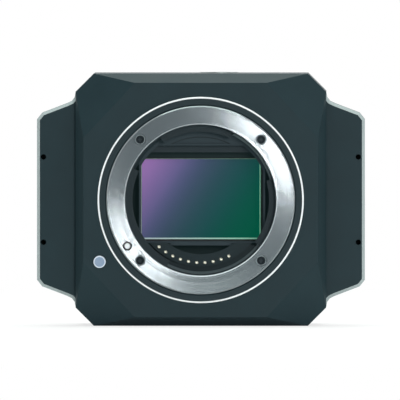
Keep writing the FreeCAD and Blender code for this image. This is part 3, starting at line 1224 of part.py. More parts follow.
def connector_board():
    """Connector board with its four sockets, spacers, screws, push switch and light pipe."""
    body = new_body("io_board_body")
    outline = sketch_at(body, "io_board_outline", IO_AT)
    low, notch = "-io_board_bottom", "board_corner"
    half = "(io_board_width/2)"
    polygon(outline, [
        ("-%s+%s" % (half, notch), low), ("%s-%s" % (half, notch), low), (half, "%s+%s" % (low, notch)),
        (half, "-io_board_top"), ("-" + half, "-io_board_top"), ("-" + half, "%s+%s" % (low, notch))])
    for x, z in io_corners():
        circle(outline, x, z, CLEAR_HOLE)
    pad(body, outline, "board_thickness")
    keep("io_board", body)

    for name, x, width, height, corner in SOCKETS:
        length = "(%s-%s)" % (COVER_BACK, IO_BACK)
        shell = rounded_bar(name + "_shell", x, "-port_z", IO_BACK, length, width, height, corner)
        wall = "socket_shell"
        room = rounded_bar(name + "_room", x, "-port_z", "%s+socket_floor" % IO_BACK, length,
                           "%s-2*%s" % (width, wall), "%s-2*%s" % (height, wall), corner + "-socket_shell")
        tongue = block(name + "_tongue", "%s-0.3*%s" % (x, width), "%s+0.3*%s" % (x, width), IO_BACK,
                       COVER_BACK + "-tongue_sink", "-port_z-tongue_thickness/2",
                       "-port_z+tongue_thickness/2")
        keep(name, fuse(name, [cut(name + "_tube", shell, room), tongue]))

    tubes = [spacer("io_spacer_%d" % number, x, z, MAIN_BACK, "io_gap")
             for number, (x, z) in enumerate(io_corners())]
    keep("io_spacers", group("io_spacers", tubes))
    screws = [cap_screw("io_screw_%d" % number, x, z, IO_BACK, "io_gap+2*board_thickness")
              for number, (x, z) in enumerate(io_corners())]
    keep("io_screws", group("io_screws", screws))
    keep("power_switch", switch_under_button())
    keep("status_light_pipe", rod("status_light_pipe", "light_x", "-switch_z", IO_BACK,
                                  "%s-%s+light_proud" % (COVER_BACK, IO_BACK), "light_diameter/2"))


def switch_under_button():
    """Push switch on the connector board, under the power button."""
    case = block("switch_case", "switch_x-switch_diameter/2", "switch_x+switch_diameter/2", IO_BACK,
                 SWITCH_TOP + "-switch_plunger", "-switch_z-switch_diameter/2",
                 "-switch_z+switch_diameter/2")
    plunger = rod("switch_plunger", "switch_x", "-switch_z", IO_BACK, "switch_body", "switch_diameter/4")
    return fuse("power_switch", [case, plunger])


def power_button():
    """Round button in the rear cover, with a flange that keeps it in."""
    top = "(%s+switch_proud)" % COVER_BACK
    edge = "switch_edge"
    flange = rod("power_flange", "switch_x", "-switch_z", BUTTON_FOOT, "switch_flange_thickness",
                 "switch_flange/2")
    barrel = rod("power_barrel", "switch_x", "-switch_z", BUTTON_FOOT,
                 "%s-%s-%s" % (top, BUTTON_FOOT, edge), "switch_diameter/2")
    crown = cone("power_crown", "switch_x", "-switch_z", "%s-%s" % (top, edge), edge,
                 "switch_diameter/2", "switch_diameter/2-%s" % edge)
    keep("power_button", fuse("power_button", [flange, barrel, crown]))


def housing_gasket():
    """Seal in the joint between the housing's rim and the rear cover."""
    body = new_body("gasket_body")
    outline = sketch_at(body, "gasket_outline", RIM_AT)
    octagon(outline, "body_width-2*gasket_inset", "body_height-2*gasket_inset", "body_corner", "body_corner")
    octagon(outline, "cavity_width", "cavity_height", "cavity_corner", "cavity_corner")
    for x, z in COVER_SCREWS:
        circle(outline, x, z, CLEAR_HOLE)
    pad(body, outline, "gasket_thickness")
    keep("housing_gasket", body)


def rear_cover():
    """Finned rear cover with connector openings and counterbored corner screws."""
    body = new_body("rear_cover_body")
    plate = sketch_at(body, "cover_plate", COVER_AT)
    octagon(plate, "body_width", "body_height", "body_corner", "body_corner")
    pad(body, plate, "cover_thickness")
    relief = sketch_at(body, "cover_relief", COVER_AT)
    octagon(relief, "cavity_width", "cavity_height", "cavity_corner", "cavity_corner")
    pocket(body, relief, "cover_thickness-cover_wall")
    fin = sketch_at(body, "first_fin", COVER_BACK)
    rectangle(fin, "-fin_span/2-fin_thickness/2", "-fin_span/2+fin_thickness/2", "-fin_bottom", "fin_top")
    first = pad(body, fin, "fin_height")
    fins = body.newObject("PartDesign::LinearPattern", "fins")
    fins.Originals = [first]
    fins.Direction = (fin, ["H_Axis"])
    bind(fins, "Length", "fin_span")
    bind(fins, "Occurrences", "fin_count")
    body.Tip = fins
    doc.recompute()

    cutters = [all_four("cover_holes", fuse("cover_hole", [
        rod("cover_hole_shaft", "cover_screw_spacing_x/2", "cover_screw_spacing_z/2", COVER_AT + "-1",
            "cover_thickness+2", "screw_shank/2+loose_fit"),
        rod("cover_hole_counterbore", "cover_screw_spacing_x/2", "cover_screw_spacing_z/2",
            COVER_BACK + "-cover_head_sink", "cover_head_sink+1", "screw_head/2+2*loose_fit")]))]
    for name, x, width, height, corner in SOCKETS:
        cutters.append(rounded_bar(name + "_opening", x, "-port_z", COVER_AT + "-1", "cover_thickness+2",
                                   width + "+2*port_clearance", height + "+2*port_clearance",
                                   corner + "+port_clearance"))
    cutters.append(rod("power_hole", "switch_x", "-switch_z", COVER_AT + "-1", "cover_thickness+2",
                       "switch_diameter/2+running_fit"))
    cutters.append(rod("power_flange_room", "switch_x", "-switch_z", COVER_AT + "-1",
                       "%s+switch_flange_thickness+running_fit-%s+1" % (BUTTON_FOOT, COVER_AT),
                       "switch_flange/2+2*running_fit"))
    cutters.append(rod("light_hole", "light_x", "-switch_z", COVER_AT + "-1", "cover_thickness+2",
                       "light_diameter/2+loose_fit"))
    keep("rear_cover", cut("rear_cover", body, fuse("cover_cutters", cutters)))
    head_at = "(%s-cover_head_sink)" % COVER_BACK
    screw = cap_screw("cover_screw", "cover_screw_spacing_x/2", "cover_screw_spacing_z/2", head_at,
                      "cover_screw_length")
    keep("rear_cover_screws", all_four("rear_cover_screws", screw))


def top_thread_insert():
    """Flanged tripod thread insert in the top of the housing."""
    top = "(body_height/2)"
    stem = rod_up("insert_stem", "insert_x", "insert_at", top + "-insert_length", "insert_length",
                  "insert_body/2")
    flange = rod_up("insert_rim", "insert_x", "insert_at", top, "insert_proud", "insert_flange/2")
    hole = rod_up("insert_bore", "insert_x", "insert_at", top + "+insert_proud-insert_thread_depth",
                  "insert_thread_depth+1", "insert_thread/2")
    keep("top_thread_insert", cut("top_thread_insert", fuse("insert_solid", [stem, flange]), hole))


front_housing()
lens_mount_ring()
mount_bezel_ring()
mount_trim_ring()
mount_screws()
bayonet_claw_ring()
bayonet_springs()
lens_release_button()
lens_lock_pin()
release_plate()
coil("release_button_spring", "button_x", "button_z")
coil("lock_pin_spring", "lock_x", "lock_z")
light_baffle()
contact_block()
contact_pins()
contact_flex()
shutter()
sensor_frame()
sensor_pieces()
heat_path()
main_electronics()
connector_board()
power_button()
housing_gasket()
rear_cover()
top_thread_insert()

doc.recompute()
failed = [thing.Name for thing in doc.Objects if "Invalid" in thing.State or "Error" in thing.State]
if failed:
    raise RuntimeError("failed objects: " + ", ".join(failed))
for label, thing in nodes.items():
    if thing.Shape.isNull() or not thing.Shape.isValid() or not thing.Shape.Solids:
        raise RuntimeError("bad shape: " + label)

os.makedirs("parts", exist_ok=True)
for label, thing in nodes.items():
    thing.Shape.exportStep("parts/%s.step" % label)
    print("%-28s solids %2d volume %10.3f" % (label, len(thing.Shape.Solids), thing.Shape.Volume))
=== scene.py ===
import json
import math
from functools import partial

import bpy
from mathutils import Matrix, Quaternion, Vector


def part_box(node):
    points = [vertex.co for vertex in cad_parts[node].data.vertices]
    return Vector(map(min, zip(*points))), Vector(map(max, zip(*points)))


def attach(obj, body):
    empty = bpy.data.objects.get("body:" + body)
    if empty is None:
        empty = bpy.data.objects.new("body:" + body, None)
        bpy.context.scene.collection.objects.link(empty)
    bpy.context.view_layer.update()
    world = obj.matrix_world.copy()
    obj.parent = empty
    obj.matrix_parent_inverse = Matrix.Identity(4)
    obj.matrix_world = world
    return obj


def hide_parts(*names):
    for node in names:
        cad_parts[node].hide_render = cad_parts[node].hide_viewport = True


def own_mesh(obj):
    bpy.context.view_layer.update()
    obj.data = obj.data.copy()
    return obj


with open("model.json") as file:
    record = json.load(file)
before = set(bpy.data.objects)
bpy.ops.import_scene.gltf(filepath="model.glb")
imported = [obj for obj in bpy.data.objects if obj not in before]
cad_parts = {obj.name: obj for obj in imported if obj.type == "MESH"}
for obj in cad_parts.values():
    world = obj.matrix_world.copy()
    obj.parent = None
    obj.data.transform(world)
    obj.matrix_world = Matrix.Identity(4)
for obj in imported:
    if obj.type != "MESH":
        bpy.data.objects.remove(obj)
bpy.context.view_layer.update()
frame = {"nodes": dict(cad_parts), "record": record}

# Aerial survey camera body: the finishes of its parts, the two release coils, a white studio,
# and a camera that looks almost along the optical axis.
# X runs across, Y runs from the mount's face to the back, and Z runs up. The finishes are
# measured in millimetres, and the coils, the studio and the camera in metres.
MILLIMETRE = 0.001


def in_mm(corners):
    """The two corners of a box, turned from metres into millimetres."""
    return [Vector(corner) / MILLIMETRE for corner in corners]


# The photograph's frame is 400 by 400, and the throat of the mount gives its scale.
IMAGE_PIXELS = 400
PIXELS_PER_MM = 3.285
MOUNT_CENTRE_PIXEL = (200.65, 200.1)
CAMERA_DISTANCE = 5.0
CAMERA_SEES_TO = 20.0
# The width of the camera's own picture, in millimetres
FILM_WIDTH = 36.0
# The deep picture window lies right of and above the mount's centre by these slopes.
LOOK_FROM_RIGHT = 0.0095
LOOK_FROM_ABOVE = 0.0195

# The mount's turned ring: its radius and that of its throat
RING_LOW, RING_HIGH = in_mm(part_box("lens_mount_ring"))
RING_OUTER = (RING_HIGH.x - RING_LOW.x) / 2
RING_THROAT = 23.05
# A rim is painted lighter below the first height, a painted light from above, and painted
# darker above the second, a painted shade, each millimetre by the third number.
RIM_PAINTED_LIGHT_BELOW, RIM_PAINTED_SHADE_ABOVE, RIM_CHANGE = -8.0, 23.0, 0.04

# The lock pin, and the dark ring of painted shade round it, which reaches this far past it
PIN_LOW, PIN_HIGH = in_mm(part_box("lens_lock_pin"))
PIN_MIDDLE = (PIN_LOW + PIN_HIGH) / 2
PIN_RADIUS = (PIN_HIGH.x - PIN_LOW.x) / 2
PIN_SHADE_REACH = 0.55

# The mount's four screws: each lies as far across as up, and has a painted glint on its edge
# from one radius outwards and a cross recess within another. No other screws are near the front.
SCREWS_LOW, SCREWS_HIGH = in_mm(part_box("mount_screws"))
SCREW_HEAD_RADIUS = 1.475
SCREW_PLACE = SCREWS_HIGH.x - SCREW_HEAD_RADIUS
SCREW_GLINT_FROM, SCREW_CROSS_RADIUS, SCREW_CROSS_BELOW_TOP = 1.3, 0.95, 0.12
NEAR_THE_FRONT = 1.5

# The release button, and the width of its polished edge
BUTTON_LOW, BUTTON_HIGH = in_mm(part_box("lens_release_button"))
BUTTON_MIDDLE = (BUTTON_LOW + BUTTON_HIGH) / 2
BUTTON_RADIUS = (BUTTON_HIGH.x - BUTTON_LOW.x) / 2
BUTTON_EDGE = 0.35

# The 45 degree lip behind the claws, with a painted highlight: its radii, its depth, and the
# slanting line below and right of which the highlight is painted (the upper left is in shade),
# as the distance across less the distance up
CLAW_LIP_INNER, CLAW_LIP_OUTER, CLAW_LIP_AT = 21.88, 22.62, 5.45
CLAW_LIP_LIT_FROM = -10.0
# The arched recess above the picture: its circle's radius and drop, its foot and its depth
ARCH_RADIUS, ARCH_DROP, ARCH_FOOT, ARCH_DEPTH = 19.49, 0.39, 16.95, 6.9
# The half width of the painted shadow line along the arch
ARCH_SHADOW_LINE = 0.14

# The filter glass in front of the sensor, which is centred on the optical axis
GLASS_HIGH = in_mm(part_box("sensor_filter_glass"))[1]
GLASS_RIGHT, GLASS_TOP = GLASS_HIGH.x, GLASS_HIGH.z
# The sensor's painted reflection drifts in colour this share of its way from the middle to a
# side, and to an edge.
DRIFT_TO_SIDE, DRIFT_TO_EDGE = 0.345, 0.155

# How a 45 degree chamfer and the flat of a pin's tip face the front, from 0 to 1
CHAMFER_FACING = math.cos(math.radians(45))
FLAT_FACING = 0.97
# Two noises whose coordinates start this far apart have nothing in common.
NOISE_APART = 100.0

# The release springs' wire in millimetres and their turns, and the mesh's sides and steps
COIL_WIRE, COIL_TURNS = 0.25, 5
COIL_SIDES, COIL_STEPS, COIL_SMOOTH_ANGLE = 12, 32, math.radians(40)

# The floor lies just under the object, and a dark cloth covers it in front of this line, in
# millimetres. The floor's paper fades to white between two distances from the object.
FLOOR_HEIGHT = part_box("front_housing")[0][2]
FLOOR_SIZE, FLOOR_GAP = 4.0, 0.0001
CLOTH_FROM = -45.0
FADE_FROM, FADE_TO, FADE_LEAST = 60.0, 420.0, 0.72
# The dark card stands this far in front of the mount's face.
CARD_SIZE, CARD_DISTANCE = 17.0, 3.6
# The key lamps' place: an angle from the right upwards, degrees off the axis, and a distance
KEY_ANGLE, KEY_OFF_AXIS, KEY_DISTANCE = 34, 20, 1.3

# Where a node has several outputs, the one that is read has this number.
OBJECT_COORDINATES = 3
SURFACE_NORMAL = 1
CAMERA_RAY, GLOSSY_RAY, TRANSMISSION_RAY = 0, 3, 6
# A Mix node of colours takes its colours at these inputs, and gives its result at this output.
FIRST_COLOUR, SECOND_COLOUR, MIXED_COLOUR = 6, 7, 2


class Socket:
    """A shader value that takes part in Python arithmetic by adding Math nodes."""

    def __init__(self, graph, link):
        self.graph = graph
        self.link = link

    def combine(self, operation, first, second=0.0):
        """Add one Math node and give its result."""
        return self.graph.add("ShaderNodeMath", {"operation": operation}, {0: first, 1: second})[0]

    def __add__(self, other):
        return self.combine("ADD", self, other)

    def __radd__(self, other):
        return self.combine("ADD", other, self)

    def __sub__(self, other):
        return self.combine("SUBTRACT", self, other)

    def __rsub__(self, other):
        return self.combine("SUBTRACT", other, self)

    def __mul__(self, other):
        return self.combine("MULTIPLY", self, other)

    def __rmul__(self, other):
        return self.combine("MULTIPLY", other, self)

    def __truediv__(self, other):
        return self.combine("DIVIDE", self, other)

    def __gt__(self, other):
        return self.combine("GREATER_THAN", self, other)

    def __lt__(self, other):
        return self.combine("LESS_THAN", self, other)

    def __pow__(self, other):
        return self.combine("POWER", self, other)

    def sine(self):
        return self.combine("SINE", self)

    def size(self):
        """The value without its sign."""
        return self.combine("ABSOLUTE", self)

    def or_more(self, other):
        """The larger of two values."""
        return self.combine("MAXIMUM", self, other)

    def between(self, low, high):
        """1 where the value lies between two limits, and 0 elsewhere."""
        return (self > low) * (self < high)


class Graph:
    """The nodes of a material or of the world, built from node calls."""

    def __init__(self, owner):
        owner.use_nodes = True
        self.nodes = owner.node_tree.nodes
        self.links = owner.node_tree.links
        self.nodes.clear()

    def add(self, kind, settings=None, inputs=None):
        """Add a node: its settings first, then values or links for its inputs.

        The setting "stops" holds the places and colours of a smooth ramp.
        """
        node = self.nodes.new(kind)
        for name, value in (settings or {}).items():
            if name == "stops":
                ramp = node.color_ramp
                ramp.interpolation = "B_SPLINE"
                while len(ramp.elements) < len(value):
                    ramp.elements.new(0.5)
                for element, (place, tint) in zip(ramp.elements, value):
                    element.position = place
                    element.color = (*tint, 1)
            else:
                setattr(node, name, value)
        for name, value in (inputs or {}).items():
            if isinstance(value, Socket):
                self.links.new(value.link, node.inputs[name])
            else:
                node.inputs[name].default_value = value
        return [Socket(self, output) for output in node.outputs]

    def mix(self, factor, first, second):
        """Mix two surfaces, or two lights of the world."""
        return self.add("ShaderNodeMixShader", inputs={0: factor, 1: first, 2: second})[0]


class Finish(Graph):
    """One material."""

    def __init__(self, name):
        self.material = bpy.data.materials.new(name)
        super().__init__(self.material)

    def place(self):
        """Object coordinates as three values in millimetres."""
        coordinates = self.add("ShaderNodeTexCoord")[OBJECT_COORDINATES]
        axes = self.add("ShaderNodeSeparateXYZ", inputs={0: coordinates})
        return [axis * (1 / MILLIMETRE) for axis in axes]

    def normal(self):
        """The way that the surface faces."""
        return self.add("ShaderNodeNewGeometry")[SURFACE_NORMAL]

    def facing_front(self):
        """How squarely the surface faces the front or the back, from 0 to 1."""
        along = self.add("ShaderNodeSeparateXYZ", inputs={0: self.normal()})[1]
        return along.size()

    def noise(self, scale, detail=3.0, stretch=(1, 1, 1)):
        """A noise value on Object coordinates; scale is in waves per millimetre."""
        coordinates = self.add("ShaderNodeTexCoord")[OBJECT_COORDINATES]
        size = tuple(scale * part / MILLIMETRE for part in stretch)
        mapped = self.add("ShaderNodeMapping", inputs={"Vector": coordinates, "Scale": size})[0]
        return self.add("ShaderNodeTexNoise", inputs={
            "Vector": mapped, "Scale": 1.0, "Detail": detail})[0]

    def grooves(self, radius):
        """A noise value that changes with the radius alone, as turning leaves it."""
        return self.add("ShaderNodeTexNoise", {"noise_dimensions": "1D"}, {
            "W": radius, "Scale": 45.0, "Detail": 2.0, "Roughness": 0.6})[0]

    def vector(self, operation, inputs):
        """Add one Vector Math node and give its result."""
        return self.add("ShaderNodeVectorMath", {"operation": operation}, inputs)[0]

    def blend(self, factor, first, second):
        """Mix two colours."""
        inputs = {0: factor}
        for slot, tint in ((FIRST_COLOUR, first), (SECOND_COLOUR, second)):
            inputs[slot] = tint if isinstance(tint, Socket) else (*tint, 1)
        return self.add("ShaderNodeMix", {"data_type": "RGBA"}, inputs)[MIXED_COLOUR]

    def ramp(self, value, stops):
        """A colour from a value, through a ramp's stops."""
        return self.add("ShaderNodeValToRGB", {"stops": stops}, {0: value})[0]

    def bump(self, height, distance):
        """Bump of a height value; distance is in millimetres."""
        return self.add("ShaderNodeBump", inputs={
            "Height": height, "Distance": distance * MILLIMETRE})[0]

    def surface(self, **inputs):
        """A principled surface; colours may be plain triples."""
        named = {}
        for name, value in inputs.items():
            if isinstance(value, tuple) and len(value) == 3:
                value = (*value, 1)
            named[name.replace("_", " ")] = value
        return self.add("ShaderNodeBsdfPrincipled", inputs=named)[0]

    def finish(self, surface):
        """The material, once its surface is known."""
        self.add("ShaderNodeOutputMaterial", inputs={"Surface": surface})
        return self.material

    def solid(self, **inputs):
        """The material, as one principled surface."""
        return self.finish(self.surface(**inputs))


def shade(value):
    """A display value from 0 to 255 as linear light, by the sRGB curve."""
    part = value / 255
    return part / 12.92 if part <= 0.04045 else ((part + 0.055) / 1.055) ** 2.4


def colour(red, green, blue):
    """A display colour as linear light."""
    return (shade(red), shade(green), shade(blue))


def scaled(tint, factor):
    """A darker or a brighter tint."""
    return tuple(part * factor for part in tint)


def distance(across, up):
    """How far a place lies from a middle, from how far across and up it lies."""
    return (across ** 2.0 + up ** 2.0) ** 0.5


def blasted_black(name, tint, roughness=0.5, edge=None):
    """Blasted, black-anodised alloy: grain, uneven sheen, edges of bare metal and painted
    highlight.
    """
    finish = Finish(name)
    cloud = finish.noise(0.12, 4.0)
    speck = finish.noise(9.0, 2.0)
    base = finish.blend(cloud * 0.6 + speck * 0.4, scaled(tint, 0.8), scaled(tint, 1.2))
    rough = roughness + (cloud - 0.5) * 0.16 + (speck - 0.5) * 0.12
    if edge:
        # Chamfers cut at 45 degrees to the optical axis are painted bright: partly the bare metal
        # of the cut, partly a painted highlight for the light they catch.
        chamfer_metal_and_highlight = (finish.facing_front() - CHAMFER_FACING).size() < 0.03
        base = finish.blend(chamfer_metal_and_highlight * (0.35 + speck * 0.5), base, edge)
    return finish.solid(Base_Color=base, Specular_IOR_Level=0.15, Roughness=rough,
                        Normal=finish.bump(speck, 0.012))


def turned_metal(name, tint, roughness=0.183, lean=0.9, metallic=1.0, gloss=0.5,
                 rims=(), shade_rings=(), highlight_bands=()):
    """Lathe-turned metal: each fine groove about the optical axis leans its facets in or out.

    The rims are edges with painted light on their lower side and painted shade on their upper
    side, and the highlight bands are deep painted highlights, each from one radius to another;
    a rim also has a share of painted shade. The shade rings are dark rounds of painted shade,
    each a place and a radius.
    """
    finish = Finish(name)
    across, depth, up = finish.place()
    radius = distance(across, up)
    groove, other = finish.grooves(radius), finish.grooves(radius + NOISE_APART)
    slope = (groove - other) * lean
    outward = finish.add("ShaderNodeCombineXYZ", inputs={
        0: across / radius * slope, 2: up / radius * slope})[0]
    leaned = finish.vector("ADD", {0: finish.normal(), 1: outward})
    normal = finish.vector("NORMALIZE", {0: leaned})
    cloud = finish.noise(0.2)
    base = finish.blend(groove * 0.5 + cloud * 0.5, scaled(tint, 0.88), tint)
    # Painted light and shade on a rim: it is made less metallic, more so on its lower side, to
    # look lit from above, and it is painted darker by its share of shade and on its upper side.
    painted_light_low = (up * -RIM_CHANGE + RIM_CHANGE * RIM_PAINTED_LIGHT_BELOW).or_more(0.0)
    painted_shade_high = (up * RIM_CHANGE - RIM_CHANGE * RIM_PAINTED_SHADE_ABOVE).or_more(0.0)
    for inner, outer, painted_shade_share in rims:
        rim = radius.between(inner, outer)
        metallic = metallic * (1 - rim * (painted_light_low * (1 - painted_shade_share) + 0.3))
        base = finish.blend(rim * (painted_shade_high + painted_shade_share), base, colour(60, 70, 74))
    # Painted shade: within each shade ring the metal is painted dark, not metallic and rough.
    for x, z, size in shade_rings:
        shade_ring = distance(across - x, up - z) < size
        metallic = metallic * (1 - shade_ring)
        roughness = roughness + shade_ring * 0.7
        base = finish.blend(shade_ring, base, colour(24, 30, 32))
    for inner, outer in highlight_bands:
        # Painted highlight: each band is painted lighter where it lies deep enough, on the lit
        # side.
        lit_side = (depth > CLAW_LIP_AT) * (across - up > CLAW_LIP_LIT_FROM)
        highlight_band = radius.between(inner, outer) * lit_side
        base = finish.blend(highlight_band * (0.14 + groove * 0.3), base, colour(140, 156, 158))
    return finish.solid(Base_Color=base, Metallic=metallic, Specular_IOR_Level=gloss,
                        Roughness=roughness + (groove - 0.5) * 0.12, Normal=normal)


def plain_metal(name, tint, roughness=0.3):
    """Bright metal with fine drawn scratches and a little tarnish."""
    finish = Finish(name)
    drawn = finish.noise(1.2, 5.0, (1, 14, 1))
    cloud = finish.noise(0.5)
    return finish.solid(Base_Color=finish.blend(cloud, scaled(tint, 0.85), tint), Metallic=1.0,
                        Roughness=roughness + (drawn - 0.5) * 0.15,
                        Normal=finish.bump(drawn, 0.004))


def moulded(name, tint, roughness=0.5, grain=0.006, coat=0.0, glow=0.0, gloss=0.5):
    """Moulded plastic, rubber or matt paint with a fine grain.

    A faint glow stands for light that is scattered in the deep throat.
    """
    finish = Finish(name)
    speck = finish.noise(7.0, 2.0)
    cloud = finish.noise(0.25)
    base = finish.blend(cloud * 0.7 + speck * 0.3, scaled(tint, 0.85), scaled(tint, 1.15))
    return finish.solid(Base_Color=base, Roughness=roughness + (speck - 0.5) * 0.15,
                        Coat_Weight=coat, Specular_IOR_Level=gloss, Emission_Color=base,
                        Emission_Strength=glow, Normal=finish.bump(speck, grain))


def circuit_board(name):
    """Green solder mask over a faint pattern of tracks."""
    finish = Finish(name)
    across, _, up = finish.place()
    tracks = ((across * 4.2).sine() * (up * 1.3).sine() > 0.25) * (finish.noise(0.16, 2.0) > 0.5)
    base = finish.blend(tracks, (0.006, 0.07, 0.03), (0.012, 0.13, 0.055))
    return finish.solid(Base_Color=base, Roughness=0.35, Normal=finish.bump(tracks, 0.03))


def chip_with_painted_sheen(name):
    """Sensor: painted reflection from lilac at upper left to green at lower right, and painted
    glow.
    """
    finish = Finish(name)
    across, _, up = finish.place()
    # The painted reflection runs from 0 at the upper left corner to 1 at the lower right one.
    painted_sheen_drift = across * (DRIFT_TO_SIDE / GLASS_RIGHT) - up * (DRIFT_TO_EDGE / GLASS_TOP) + 0.5
    base = finish.ramp(painted_sheen_drift, [
        (0.0, colour(162, 114, 178)), (0.24, colour(90, 90, 134)), (0.42, colour(54, 72, 88)),
        (0.62, colour(28, 74, 77)), (0.78, colour(10, 79, 66)), (1.0, colour(0, 88, 64))])
    cells = (across * 60.0).sine() * (up * 60.0).sine()
    # Painted glow: the base is darkened and the colour is given out as light, standing in for the
    # light that falls into the throat.
    return finish.solid(Base_Color=finish.blend(0.65, base, (0, 0, 0)), Emission_Color=base,
                        Emission_Strength=0.85, Roughness=0.25, Specular_IOR_Level=0.02,
                        Normal=finish.bump(cells, 0.0006))


def coated_glass(name):
    """Clear filter glass: see-through, with a faint reflection and a rim of glowing painted
    highlights.
    """
    finish = Finish(name)
    across, _, up = finish.place()
    clear = finish.add("ShaderNodeBsdfTransparent", inputs={"Color": (0.96, 0.98, 0.97, 1)})[0]
    sheen = finish.add("ShaderNodeBsdfGlossy", inputs={
        "Color": (0.8, 0.9, 0.95, 1), "Roughness": 0.06})[0]
    facing = finish.add("ShaderNodeFresnel", inputs={"IOR": 1.15})[0]
    body = finish.mix(facing, clear, sheen)
    # Painted highlights: each side of the rim is painted bright along a strip of its own width and
    # strength.
    bottom = up.between(0.18 - GLASS_TOP, 0.64 - GLASS_TOP) * 0.46
    right = across.between(GLASS_RIGHT - 0.55, GLASS_RIGHT - 0.1) * 0.46
    left = (across < 0.25 - GLASS_RIGHT) * 0.4
    top = (up > GLASS_TOP - 0.2) * 0.3
    edge = bottom.or_more(right).or_more(left).or_more(top)
    tint = finish.ramp(across * (0.5 / GLASS_RIGHT) + 0.5, [
        (0.0, colour(176, 190, 192)), (0.45, colour(180, 214, 204)),
        (0.93, colour(140, 206, 176)), (1.0, colour(110, 176, 146))])
    # The rim's painted highlights also glow.
    rim = finish.surface(
        Base_Color=tint, Emission_Color=tint, Emission_Strength=0.5, Roughness=0.4)
    return finish.finish(finish.mix(edge, body, rim))


def image_frame(name):
    """Matt black moulding round the picture, with a painted shadow line along its arched recess
    and painted shade on its deeper parts.

    Its faint glow stands for light that is scattered in the deep throat.
    """
    finish = Finish(name)
    across, depth, up = finish.place()
    from_arch = (distance(across, up + ARCH_DROP) - ARCH_RADIUS).size()
    # Painted shadow: a dark line along the arch, where the recess's step lies in shade.
    shadow_line = (from_arch < ARCH_SHADOW_LINE) * (up > ARCH_FOOT) * (depth < ARCH_DEPTH) * 0.7
    speck = finish.noise(7.0, 2.0)
    cloud = finish.noise(0.25)
    black = finish.blend(cloud * 0.7 + speck * 0.3, colour(30, 43, 49), colour(36, 50, 56))
    # Painted shade: the frame's deeper parts are painted darker.
    shaded = finish.blend((depth > ARCH_DEPTH + 0.1) * 0.45, black, colour(12, 22, 26))
    return finish.solid(Base_Color=finish.blend(shadow_line, shaded, colour(10, 16, 18)),
                        Roughness=0.6 + (speck - 0.5) * 0.15, Specular_IOR_Level=0.3,
                        Emission_Color=colour(15, 27, 31), Emission_Strength=0.5,
                        Normal=finish.bump(speck, 0.006))


def screw_steel(name):
    """Blackened steel; a mount screw also has a light grey painted glint round its edge and a
    greyer cross recess.
    """
    finish = Finish(name)
    across, depth, up = finish.place()
    away = distance(across.size() - SCREW_PLACE, up.size() - SCREW_PLACE)
    # Painted glint: the edge of a mount screw's head is painted light grey.
    painted_glint = (away > SCREW_GLINT_FROM) * (depth < NEAR_THE_FRONT)
    recess = ((away < SCREW_CROSS_RADIUS)
              * depth.between(SCREWS_LOW.y + SCREW_CROSS_BELOW_TOP, NEAR_THE_FRONT))
    cloud = finish.noise(1.5, 4.0)
    black = finish.blend(cloud, colour(18, 26, 30), colour(34, 44, 50))
    black = finish.blend(recess * 0.35, black, colour(92, 102, 108))
    base = finish.blend(painted_glint * (0.5 + cloud * 0.5), black, colour(176, 188, 192))
    return finish.solid(Base_Color=base, Metallic=0.3, Specular_IOR_Level=0.25,
                        Roughness=0.3 + (cloud - 0.5) * 0.2, Normal=finish.bump(cloud, 0.004))


def release_button(name):
    """Lavender anodised button with a polished edge round its crown."""
    finish = Finish(name)
    across, _, up = finish.place()
    away = distance(across - BUTTON_MIDDLE.x, up - BUTTON_MIDDLE.z)
    edge = (away > BUTTON_RADIUS - BUTTON_EDGE) * 0.8
    cloud = finish.noise(0.8)
    cap = finish.blend(cloud, colour(122, 142, 168), colour(142, 158, 180))
    return finish.solid(Base_Color=finish.blend(edge, cap, colour(226, 234, 244)),
                        Roughness=0.3 + (cloud - 0.5) * 0.1, Coat_Weight=0.2,
                        Normal=finish.bump(cloud, 0.002))


def gold_tips(name):
    """Gold contact pins: each tip's flat is a glowing painted highlight, its rounded edge painted
    dark.
    """
    finish = Finish(name)
    painted_glint_flat = finish.facing_front() > FLAT_FACING
    gold = finish.blend(finish.noise(1.5), (0.9, 0.9, 0.74), (0.98, 1.0, 0.9))
    # Painted highlight and shade: the flat is pale gold and glows, the rest is painted dark.
    base = finish.blend(painted_glint_flat, (0.1, 0.09, 0.05), gold)
    return finish.solid(Base_Color=base, Emission_Color=base, Emission_Strength=1.1,
                        Roughness=0.3, Specular_IOR_Level=0.3)


